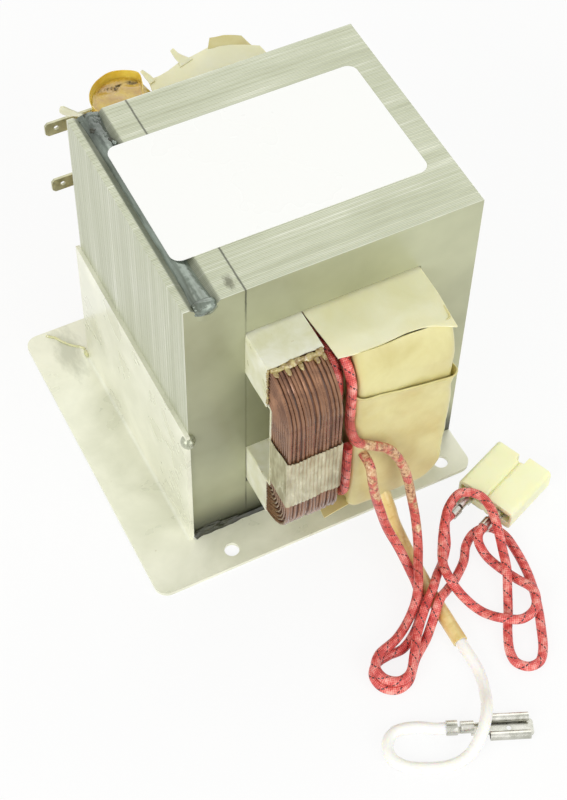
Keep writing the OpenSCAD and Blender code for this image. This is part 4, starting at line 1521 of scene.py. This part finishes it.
def strip(
    path: Sequence[Point], half_widths: Sequence[Point], cells: int, thickness: float
) -> Shape:
    """A narrow piece of paper or tape along a line.

    Args:
        path: its middle line, in millimetres.
        half_widths: from the middle to one side, at each point of the path.
        cells: cells along it.
        thickness: in millimetres.

    Returns:
        The piece.
    """
    count = len(path) - 1

    def surface(a: float, b: float) -> Vector:
        """Along the line and across it.

        Args:
            a: share along the line.
            b: share across it.

        Returns:
            The point, in metres.
        """
        place_on = a * count
        index = min(int(place_on), count - 1)
        share = place_on - index
        before, after = path[max(index - 1, 0)], path[min(index + 2, count)]
        middle = []
        for axis in range(3):
            p0, p1 = before[axis], path[index][axis]
            p2, p3 = path[index + 1][axis], after[axis]
            middle.append(
                p1
                + 0.5 * share * (p2 - p0)
                + share**2 * (p0 - 2.5 * p1 + 2 * p2 - 0.5 * p3)
                + 0.5 * share**3 * (3 * p1 - 3 * p2 + p3 - p0)
            )
        wide = Vector(half_widths[index]).lerp(Vector(half_widths[index + 1]), share)
        return (Vector(middle) + wide * (2 * b - 1)) * MM

    return sheet(surface, cells, 6, thickness * MM)


@dataclass
class Wrap:
    """Paper folded round the end of a coil: a flat face that bends back at all four sides.

    Attributes:
        left: left side of the wrapped end.
        right: its right side.
        low: its underside.
        high: its top.
        reach: how far it stands from the middle of the core.
        bend: radius of the bends at the sides and below.
        corner: radius of the flat face's lower right corner.
        lean: how far the wrapped end leans back towards its top.
        rear: True for the end behind the core.
    """

    left: float
    right: float
    low: float
    high: float
    reach: float
    bend: float
    corner: float
    lean: float
    rear: bool = False

    def point(self, x: float, z: float, out: float) -> Vector:
        """A point of the wrap, from its place on the paper when laid flat.

        Args:
            x: place across the flat paper.
            z: place up the flat paper.
            out: how far it stands outside the wrap.

        Returns:
            The point, in metres.
        """
        corner = self.corner if x > (self.left + self.right) / 2 else 0.5
        inset = self.bend + corner
        near = Vector((
            min(max(x, self.left + inset), self.right - inset),
            max(z, self.low + inset),
        ))
        away = Vector((x, z)) - near
        over = max(away.length - corner, 0.0)
        direction = away.normalized() if away.length > 1e-9 else Vector((0, 0))
        edge = near + direction * min(away.length, corner)
        radius = self.bend + out
        if over < math.pi / 2 * self.bend:
            turn = over / self.bend
            side, depth = radius * math.sin(turn), self.bend - radius * math.cos(turn)
        else:
            side, depth = radius, self.bend + over - math.pi / 2 * self.bend
        spot = edge + direction * side
        depth += self.lean * max(0.0, (spot.y - self.high + 12) / 12) ** 2
        y = self.reach - depth
        return mm(spot.x, y if self.rear else -y, spot.y)

    def paper(
        self,
        sides: tuple[float, float],
        low: float,
        high: Callable[[float], float],
        out: float,
        seed: float,
        lip: float,
    ) -> Shape:
        """A sheet on the wrap.

        Args:
            sides: its left and right edge on the flat paper.
            low: its lower edge on the flat paper.
            high: its upper edge for each place across.
            out: how far it stands outside the wrap.
            seed: picks its unevenness.
            lip: how far its upper edge stands off.

        Returns:
            The sheet.
        """

        def surface(a: float, b: float) -> Vector:
            """Across and up the paper.

            Args:
                a: share across.
                b: share up.

            Returns:
                The point, in metres.
            """
            x = sides[0] + (sides[1] - sides[0]) * a
            top = high(x)
            z = low + (top - low) * b
            uneven = 0.6 * wander(seed, x * 0.08, z * 0.06)
            uneven += 0.35 * abs(wander(seed + 3, x * 0.06 + z * 0.05, z * 0.11))
            uneven += 0.1 * wander(seed + 5, x * 0.3, z * 0.25)
            uneven += lip * math.exp((z - top) / 1.6)
            point = self.point(x, z, out + uneven)
            if lip:
                tip = max(0.0, 1 - (top - z) / 5) * max(0.0, min(1.0, (x - self.right + 4) / 5))
                point += mm(1.0, -0.4, 0.0) * tip
            return point

        return sheet(surface, 64, 84, PAPER * MM)


@dataclass
class CoilForm:
    """A rounded rectangle about the centre leg, on which turns of wire lie.

    Attributes:
        half_y: half its depth, in millimetres.
        half_z: half its height.
        corner: radius of its corners.
        centre_z: height of the leg's centre.
    """

    half_y: float
    half_z: float
    corner: float
    centre_z: float = LEG_Z

    def point(self, share: float, out: float = 0.0) -> tuple[float, float, float, float]:
        """A point of the outline at a share of its length, from the front face's middle down.

        Args:
            share: 0 to 1, once round.
            out: how far outside the outline.

        Returns:
            Depth and height of the point, and its outward direction.
        """
        r = self.corner
        flat_y, flat_z = self.half_y - r, self.half_z - r
        arc = math.pi / 2 * r
        runs = (flat_z, arc, 2 * flat_y, arc, 2 * flat_z, arc, 2 * flat_y, arc, flat_z)
        left = (share % 1.0) * sum(runs)
        index = 0
        while index < 8 and left > runs[index]:
            left -= runs[index]
            index += 1
        starts = (
            (-self.half_y, 0, -1, 0), (-flat_y, -flat_z, -1, 0), (-flat_y, -self.half_z, 0, -1),
            (flat_y, -flat_z, 0, -1), (self.half_y, -flat_z, 1, 0), (flat_y, flat_z, 1, 0),
            (flat_y, self.half_z, 0, 1), (-flat_y, flat_z, 0, 1), (-self.half_y, flat_z, -1, 0),
        )
        y, z, ny, nz = starts[index]
        if index % 2:
            turn = left / r
            ny, nz = (
                ny * math.cos(turn) - nz * math.sin(turn),
                nz * math.cos(turn) + ny * math.sin(turn),
            )
            y, z = y + r * ny, z + r * nz
        else:
            y, z = y - nz * left, z + ny * left
        return y + ny * out, self.centre_z + z + nz * out, ny, nz

    def length(self) -> float:
        """Length of the outline."""
        r = self.corner
        return 4 * (self.half_y - r) + 4 * (self.half_z - r) + math.tau * r


@dataclass
class Primary:
    """The primary: real wires in layers, its papers, its tapes and its two tabs.

    Attributes:
        x0: left side of the winding.
        x1: right side of the winding.
        wires: wires side by side in a layer.
        layers: layers from the leg outwards.
        inner: outline of the first layer.
        outer: outline of the last layer.
        paper_y: how far the slot papers reach from the middle.
        steps: points of one turn.
    """

    x0: float = -25.85
    x1: float = -9.7
    wires: int = 14
    layers: int = 10
    inner: CoilForm = field(default_factory=lambda: CoilForm(52.0, 18.3, 1.0))
    outer: CoilForm = field(default_factory=lambda: CoilForm(62.5, 33.6, 14.0))
    paper_y: float = 50.0
    steps: int = 96

    def form(self, t: float) -> CoilForm:
        """Outline at a share t of the way from the first layer to the last."""
        return CoilForm(
            self.inner.half_y + t * (self.outer.half_y - self.inner.half_y),
            self.inner.half_z + t * (self.outer.half_z - self.inner.half_z),
            self.inner.corner + t * (self.outer.corner - self.inner.corner),
        )

    def wire(self, x: float, t: float, radius: float, seed: float, sway: float) -> Shape:
        """One turn of wire.

        Args:
            x: its place along the leg.
            t: share of the way outwards.
            radius: half its diameter.
            seed: picks how it wanders; close seeds wander together.
            sway: how far it wanders sideways.

        Returns:
            The closed turn.
        """
        form = self.form(t)
        path = []
        for i in range(self.steps):
            turn = math.tau * i / self.steps
            side = sway * wander(2.0, math.cos(turn) * 1.5, math.sin(turn) * 1.5, seed * 0.45)
            deep = 0.5 * abs(wander(9.0, math.cos(turn) * 1.2, math.sin(turn) * 1.2, seed * 1.3))
            y, z, _, _ = form.point(i / self.steps, -radius - deep)
            path.append(mm(x + side, y, z))
        return tube(path, radius * MM, 8, closed=True)

    def winding(self) -> Shape:
        """The outer layer, both sides of the layers below it, and a dark mass between, painted
        shade.
        """
        pitch = (self.x1 - self.x0) / self.wires
        radius = pitch / 2
        shape = Shape.empty()
        for i in range(self.wires):
            x = self.x0 + (i + 0.5) * pitch
            sway = 0.8 * min(1.0, i / 2, (self.wires - 1 - i) / 2)
            shape.add(self.wire(x, 1.0, radius * 0.95, i, sway))
        for k in range(self.layers - 1):
            t = (k + 0.9) / self.layers
            shape.add(self.wire(self.x0 + 0.44, t, 0.43, 60 + k, 0.0))
            shape.add(self.wire(self.x1 - 0.44, t, 0.43, 90 + k, 0.0))
        low, high = self.x0 + 0.75, self.x1 - 0.75
        inner, outer = self.form(0.0), self.form(0.955)
        rings = []
        for i in range(self.steps):
            ring = []
            for form, x in ((inner, low), (outer, low), (outer, high), (inner, high)):
                y, z, _, _ = form.point(i / self.steps)
                ring.append(mm(x, y, z))
            rings.append(ring)
        return shape.add(loft(rings, closed=True), 1)

    def band(self) -> Shape:
        """The strip of clear tape round the front, with the wires' relief in it."""
        pitch = (self.x1 - self.x0) / self.wires
        top = self.outer

        def surface(a: float, b: float) -> Vector:
            """Across from the left side over the front to the right, and down.

            Args:
                a: share across.
                b: share down.

            Returns:
                The point, in metres.
            """
            wide = self.x1 - self.x0 + 0.4
            side = top.half_y - self.inner.half_y
            run = a * (wide + 2 * side)
            z_top = 60.0 + 1.3 * wander(8, run * 0.16) - 0.02 * run
            z_low = 39.6 + 1.0 * wander(9, run * 0.2)
            z = z_top + (z_low - z_top) * b
            relief = 0.0
            if run < side:
                x, depth = self.x0 - 0.32, side - run
            elif run > side + wide:
                x, depth = self.x1 + 0.12, run - side - wide
            else:
                x, depth = self.x0 - 0.2 + run - side, 0.0
                relief = 0.12 * math.cos(math.tau * (x - self.x0 - pitch / 2) / pitch)
            relief += 0.18 * wander(12, x * 0.3, z * 0.3)
            y = -top.half_y - 0.15 - relief + depth
            lower = max(0.0, LEG_Z - top.half_z + top.corner - z)
            y += top.corner - math.sqrt(max(top.corner**2 - lower**2, 0.0))
            return mm(x, y, z)

        return sheet(surface, 150, 20, 0.12 * MM)

    def slot_paper(self, level: float, side_z: float, seed: float) -> Shape:
        """Paper over or under the winding that bends round into the slot's left wall.

        Args:
            level: height of its flat part.
            side_z: height at which its side wall ends.
            seed: picks its unevenness.

        Returns:
            The paper.
        """
        flat = self.x1 - SLOT_WALL
        drop = abs(level - side_z)
        turn = -1 if side_z < level else 1

        def surface(a: float, b: float) -> Vector:
            """From the right edge over to the left wall, and from the front back.

            Args:
                a: share from the right edge on.
                b: share from the front back.

            Returns:
                The point, in metres.
            """
            end = 0.5 * wander(seed, a * 4, b * 2) if b in (0.0, 1.0) else 0.0
            y = self.paper_y * (2 * b - 1) + end
            run = a * (flat + drop)
            free = max(0.0, abs(y) - 40) / 10
            if run < flat:
                return mm(self.x1 - run, y, level + 0.25 * free * wander(seed, run * 0.3, y * 0.2))
            ragged = 0.8 * wander(seed + 2, y * 0.25) if a > 0.99 else 0.0
            x = SLOT_WALL - 0.15 * free * wander(seed + 1, run * 0.3, y * 0.2)
            return mm(x, y, level + turn * (run - flat + ragged))

        return sheet(surface, 30, 50, THIN_PAPER * MM)

    def resin(self) -> Shape:
        """Varnish that set in a ragged line where the wires leave the slot paper."""
        path, steps = [], 59
        for i in range(steps + 1):
            x = self.x0 + 0.2 + (self.x1 - self.x0 - 0.6) * i / steps
            y, z = -50.5 + 0.8 * wander(31, x * 0.5), 87.05 + 0.25 * wander(32, x * 0.6)
            path.append(mm(x, y, z))

        def thick(along: float, angle: float) -> float:
            """Its uneven radius."""
            lumps = 0.75 + 0.9 * wander(33, along / MM * 0.55)
            lumps += 0.35 * wander(34, along / MM, angle)
            return max(lumps, 0.2) * MM

        shape = tube(path, thick, 12)
        for i, x in enumerate((-24.6, -21.2, -17.4, -12.8, -10.6)):
            drop = mm(x, -51.6 - 0.5 * (i % 2), 86.7)
            shape.add(blob(drop, mm(0.7, 1.3 + 0.3 * (i % 3), 0.5), 0.2, 40 + i))
        for x, first, last in ((-20.4, 0.842, 0.872), (-11.4, 0.86, 0.876)):
            run = []
            for i in range(24):
                y, z, _, _ = self.outer.point(first + (last - first) * i / 23, -0.15)
                run.append(mm(x + 0.3 * wander(37, i * 0.3, x), y, z))
            shape.add(tube(run, lambda s, a: (0.42 + 0.3 * wander(38, s / MM * 0.7, a)) * MM, 8))
        for i in range(13):
            z = 87.2 - 1.15 * i
            y = -self.paper_y - 0.15 + 0.3 * wander(39, i * 0.9)
            size = 0.42 + 0.25 * wander(48, i * 1.3)
            shape.add(blob(mm(-26.1, y, z), mm(0.9, 1.0, 1.5) * size, 0.35, 50 + i))
        return shape

    def rear_tape(self) -> Shape:
        """Amber film round the rear end, its loose loop on top and the layer inside it."""
        left, right, core_rear = -29.5, -10.7, 38.0
        cover = CoilForm(66.8, self.outer.half_z + 1.2, 8.0)
        length = cover.length()
        flat = cover.half_y - cover.corner
        quarter = cover.half_z - cover.corner + math.pi / 2 * cover.corner
        first = (quarter + flat + core_rear) / length
        last = (length - quarter - flat - core_rear) / length
        bulge = ((left, 56.0), (-27.1, 61.8), (-23.6, 65.4), (-19.3, 66.8), (-15.2, 65.4),
                 (-12.0, 61.4), (right, 55.0))

        def crest(y: float) -> float:
            """Height of the tape's top, close over the wires."""
            past = max(0.0, y - self.outer.half_y + self.outer.corner)
            fall = math.sqrt(max(0.0, self.outer.corner**2 - past**2)) - self.outer.corner
            return max(85.9, min(87.25, LEG_Z + self.outer.half_z + fall + 0.3))

        def wound(x: float, b: float, limit: float) -> Vector:
            """From underneath over the rear to the top, no further out than the bulge.

            Args:
                x: place across, in mm.
                b: share of the way round.
                limit: how far out it may stand, in mm.

            Returns:
                The point, in metres.
            """
            loose = 0.3 * wander(51, x * 0.25, b * 6)
            y, z, _, _ = cover.point(first + (last - first) * b, 0.0)
            y = min(y, limit) + loose
            return mm(x, y, min(max(z, 19.3), crest(y)))

        def hood(a: float, b: float) -> Vector:
            """The tape's face."""
            x = left + (right - left) * a
            return wound(x, b, along_table(bulge, x))

        shape = sheet(hood, 30, 80, FILM * MM)

        def cheek(side: Point, a: float, b: float) -> Vector:
            """The side of the tape, from its rim in to the core."""
            rim = wound(side[0], b, side[2])
            return rim.lerp(Vector((side[1] * MM, core_rear * MM, rim.z)), a)

        for side in ((left, -27.4, 56.0), (right, right, 55.0)):
            shape.add(sheet(partial(cheek, side), 8, 60, FILM * MM))
        loop = [
            (-26.4, 50.0, 85.6), (-28.8, 56.6, 85.8), (-27.8, 60.6, 85.9), (-25.6, 63.6, 86.0),
            (-22.8, 65.4, 86.1), (-19.1, 66.5, 86.1), (-15.2, 65.6, 86.0), (-12.0, 63.2, 85.9),
            (-12.5, 59.6, 85.8), (-14.0, 55.4, 85.6), (-15.0, 50.0, 85.4),
        ]
        lean = [(-0.3, 0.0, 2.0)] * 2 + [(-0.5, 0.2, 2.2)] * 2 + [(-0.2, 0.4, 2.2)] * 2
        lean += [(0.1, 0.3, 2.2)] * 2 + [(0.2, 0.0, 2.0)] * 3
        shape.add(strip(loop, lean, 90, FILM))

        def sunk(x: float, y: float) -> float:
            """Low in the middle of the loop, up at its rim."""
            flat = 86.4 + 0.5 * wander(53, x * 0.25, y * 0.25) - 0.12 * max(0.0, y - 60)
            return max(flat, crest(y) + FILM)

        floor = patch(
            (
                [(-26.2, 39.0), (-28.4, 56.6), (-25.8, 62.8)],
                [(-10.6, 39.0), (-14.2, 55.6), (-12.6, 62.6)],
                [(-26.2, 39.0), (-10.6, 39.0)],
                [(-25.8, 62.8), (-22.6, 64.9), (-19.1, 65.9), (-15.4, 65.0), (-12.6, 62.6)],
            ),
            sunk, 26, 40, FILM,
        )
        return shape.add(floor, 1)

    def build(self, bench: Bench) -> None:
        """Winds the wires and lays papers, tapes and varnish.

        Args:
            bench: nodes and finishes.
        """
        made = bench.finishes
        place(
            "primary_wires", self.winding(), [made.copper, made.shaded_copper],
            "enamelled_wire", ["primary_winding"],
        )
        place("front_band", self.band(), [made.clear_tape], "clear_tape", ["primary_tape_band"])
        upper = self.slot_paper(87.6, 71.5, 61)
        corner = strip(
            [(-25.0, 49.0, 87.6), (-30.0, 52.6, 87.6), (-34.4, 55.2, 88.0), (-37.2, 56.2, 90.0),
             (-38.4, 56.2, 92.4)],
            [(2.6, -2.6, 0.0), (2.6, -2.6, 0.3), (2.4, -2.3, 1.0), (1.6, -1.4, 0.8),
             (0.3, -0.3, 0.2)], 34, THIN_PAPER,
        )
        upper.add(corner)
        place("upper_slot_paper", upper, [made.liner], "fibre", ["primary_liner_upper"])
        lower = self.slot_paper(19.8, 35.9, 63)
        place("lower_slot_paper", lower, [made.liner], "fibre", ["primary_liner_lower"])
        place("set_varnish", self.resin(), [made.resin], "fibre")
        place(
            "rear_tape", self.rear_tape(), [made.amber, made.amber_deep],
            "amber_tape", ["primary_rear_tape"],
        )
        bench.dress(made.liner, "primary_sleeve")
        bench.dress(made.dull_tin, "tab_terminal_upper", "tab_terminal_lower")


@dataclass
class Filament:
    """Three turns of braided wire between the coils; one is open in front for its leads.

    Attributes:
        radius: half the wire's diameter over its braid.
        gap: lower and upper end of the open turn's gap.
    """

    radius: float = 1.4
    gap: tuple[float, float] = (50.5, 66.0)

    def turn(self, x: float, form: CoilForm, open_front: bool) -> Shape:
        """One turn.

        Args:
            x: its place along the leg.
            form: its centre line.
            open_front: True for the turn that the leads leave.

        Returns:
            The turn.
        """
        length = form.length()
        first, last = 0.0, 1.0
        if open_front:
            first = (form.centre_z - self.gap[0]) / length
            last = 1.0 - (self.gap[1] - form.centre_z) / length
        steps = 150
        path = []
        for i in range(steps if not open_front else steps + 1):
            share = first + (last - first) * i / steps
            y, z, _, _ = form.point(share)
            path.append(mm(x, y, z))
        return tube(path, self.radius * MM, 16, closed=not open_front)

    def build(self, bench: Bench) -> None:
        """Winds the three turns.

        Args:
            bench: nodes and finishes.
        """
        shape = Shape.empty()
        for x, deeper in ((-5.3, 0.0), (-8.2, 2.4), (-6.75, 4.9)):
            form = CoilForm(58.4 - deeper, 32.1 - deeper, 10.0 - deeper)
            shape.add(self.turn(x, form, open_front=deeper == 0.0))
        place("filament_turns", shape, [bench.finishes.braid], "red_braid", ["filament_winding"])


@dataclass
class Secondary:
    """The secondary under its papers.

    Attributes:
        front: the paper round its front end.
        back: the paper round its rear end.
    """

    front: Wrap = field(default_factory=lambda: Wrap(-3.6, 25.95, 18.7, 87.3, 59.4, 2.0, 6.5, 3.9))
    back: Wrap = field(
        default_factory=lambda: Wrap(0.7, 25.95, 18.7, 87.3, 63.5, 4.0, 2.0, 6.0, True)
    )

    def front_papers(self, bench: Bench) -> None:
        """The front wrap, with its step behind the filament turns, and the sheet over it.

        Args:
            bench: nodes and finishes.
        """
        made = bench.finishes
        wrap = self.front.paper((-22.5, 46.8), 0.0, lambda x: 87.2, 0.0, 71, 0.0)
        step = CoilForm(51.5, 25.1, 6.0)

        def ledge(a: float, b: float) -> Vector:
            """The step's face, seen between the filament turns."""
            y, z, _, _ = step.point(0.84 + 0.32 * b, 0.1 * wander(73, a * 3, b * 9))
            return mm(-9.3 + 6.4 * a, y, z)

        wrap.add(sheet(ledge, 8, 60, 0.4 * MM))
        place("front_wrap", wrap, [made.paper_deep_and_shaded], "slot_paper", ["secondary_front_wrap"])
        outer = self.front.paper(
            (-4.6, 45.6), 1.5, lambda x: 73.2 - 0.215 * (x + 3.6), 0.5, 75, 0.8
        )

        def under(a: float, b: float) -> Vector:
            """The corner that reaches under the filament turns.

            Args:
                a: share from left to right.
                b: share from the core to the front.

            Returns:
                The point, in metres.
            """
            left = Vector((-9.4, -39.5)).lerp(Vector((-11.6, -58.8)), b)
            right = Vector((-2.0, -38.0)).lerp(Vector((-2.0, -57.6)), b)
            plan = left.lerp(right, a)
            return mm(plan.x, plan.y, 18.5 + 0.3 * wander(76, plan.x * 0.2, plan.y * 0.2))

        outer.add(sheet(under, 14, 24, 0.4 * MM))
        place("front_sheet", outer, [made.paper_deep_and_shaded], "slot_paper", ["secondary_front_sheet"])

    def slot_paper(self, bench: Bench) -> None:
        """The paper over the secondary, with its front and rear flaps, and the rear wrap.

        Args:
            bench: nodes and finishes.
        """
        made = bench.finishes

        def height(x: float, y: float) -> float:
            """Flat in the slot, uneven outside, curled down at the front right corner.

            Args:
                x: place across, in mm.
                y: place along the slot, in mm.

            Returns:
                The height there, in mm.
            """
            free = min(max(0.0, abs(y) - 38) / 12, 1.0)
            curl = 1.3 * max(0.0, (x - 19) / 7) ** 2 * max(0.0, (-y - 46) / 12)
            hang = 0.5 * max(0.0, (-y - 50) / 6) * max(0.0, 1 - abs(x - 6) / 30)
            return 87.75 + free * 0.5 * wander(81, x * 0.08, y * 0.1) - curl - hang

        flap = patch(
            (
                [(-8.0, -54.6), (-8.6, -47.0), (-9.3, -38.0), (-9.3, 38.0), (-10.9, 55.9),
                 (-10.2, 60.2)],
                [(25.8, -58.3), (26.1, -48.0), (26.1, 38.0), (25.7, 55.6), (25.3, 58.4)],
                [(-8.0, -54.6), (-4.0, -55.2), (4.0, -55.4), (12.0, -55.0), (16.0, -55.4),
                 (19.0, -56.1), (22.5, -57.4), (25.8, -58.3)],
                [(-10.2, 60.2), (-9.4, 59.7), (-6.6, 59.9), (-3.4, 60.7), (0.6, 62.3),
                 (5.3, 63.1), (10.9, 64.3), (16.0, 63.2), (21.0, 61.0), (25.3, 58.4)],
            ),
            height, 48, 110, PAPER,
        )
        flap.add(strip(
            [(-9.6, 58.0, 87.8), (-10.2, 60.6, 88.3), (-11.2, 62.4, 89.4)],
            [(1.0, 0.4, 0.0), (0.8, 0.2, 0.2), (0.3, 0.0, 0.3)], 14, THIN_PAPER,
        ))
        flap.add(strip(
            [(2.6, 61.0, 87.7), (1.9, 62.6, 88.1), (0.8, 64.2, 88.9), (0.2, 66.0, 90.0)],
            [(2.4, 0.8, 0.0), (1.3, 0.6, 0.2), (0.7, 0.5, 0.4), (0.5, 0.1, 0.3)], 20, THIN_PAPER,
        ))
        place("secondary_flap", flap, [made.paper], "slot_paper", ["secondary_liner_upper"])
        wrap = self.back.paper((-19.0, 46.0), -1.0, lambda x: 87.2, 0.0, 77, 0.0)
        tuck = patch(
            (
                [(4.0, 58.0), (10.6, 62.4), (10.9, 63.9), (12.9, 66.9)],
                [(24.8, 55.0), (24.0, 58.8), (22.2, 64.4)],
                [(4.0, 58.0), (14.0, 57.0), (24.8, 55.0)],
                [(12.9, 66.9), (17.4, 66.2), (22.2, 64.4)],
            ),
            lambda x, y: 87.1 + 0.3 * max(0.0, y - 61) + 0.3 * wander(83, x * 0.25, y * 0.25),
            26, 24, 2 * PAPER,
        )
        wrap.add(tuck, 1)
        place(
            "rear_wrap", wrap, [made.paper, made.paper_deep_and_shaded], "slot_paper",
            ["secondary_rear_wrap"],
        )

    def build(self, bench: Bench) -> None:
        """Dresses the coil and folds its papers.

        Args:
            bench: nodes and finishes.
        """
        made = bench.finishes
        # The secondary under its papers takes the same dark copper of painted shade.
        bench.dress(made.shaded_copper, "secondary_winding")
        bench.dress(made.liner, "secondary_sleeve")
        bench.dress(made.paper, "secondary_liner_lower")
        self.front_papers(bench)
        self.slot_paper(bench)


@dataclass
class Terminals:
    """The housing and the three stamped terminals."""

    def build(self, bench: Bench) -> None:
        """Dresses the terminals.

        Args:
            bench: nodes and finishes.
        """
        made = bench.finishes
        bench.dress(made.nylon, "plug_housing")
        bench.dress(made.tin, "crimp_terminal_left", "crimp_terminal_right", "push_on_receptacle")


@dataclass
class Leads:
    """The four free stretches of lead, from the coils to their terminals."""

    def build(self, bench: Bench) -> None:
        """Lays each lead along its route.

        Args:
            bench: nodes and finishes.
        """
        made = bench.finishes
        left = Lead(
            "lead_left", "filament_lead_left", LEFT_ROUTE, 2.8, FarEnd.TERMINAL, "red_braid",
            ("crimp_terminal_left", "plug_housing"),
        )
        right = Lead(
            "lead_right", "filament_lead_right", RIGHT_ROUTE, 2.8, FarEnd.TERMINAL, "red_braid",
            ("crimp_terminal_right",),
        )
        sleeve = Lead("lead_sleeve", "hv_sleeve", SLEEVE_ROUTE, 4.4, FarEnd.BARE, "sleeving")
        high = Lead(
            "lead_high_voltage", "hv_lead", HIGH_VOLTAGE_ROUTE, 3.4, FarEnd.TERMINAL, "silicone",
            ("push_on_receptacle",),
        )
        left.build(bench.nodes, made.braid_left)
        right.build(bench.nodes, made.braid_right)
        sleeve.build(bench.nodes, made.sleeving)
        high.build(bench.nodes, made.silicone)


def main() -> None:
    """Loads the frame, dresses it and builds each sub-assembly in order."""
    logging.basicConfig(level=logging.INFO, format="%(name)s: %(message)s")
    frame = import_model()
    Stage().build()
    bench = Bench(frame["nodes"], Finishes())
    for part in (
        Leads(), Core(), BaseSheet(), Label(), Primary(), Filament(), Secondary(), Terminals(),
    ):
        part.build(bench)


if __name__ == "__main__":
    main()
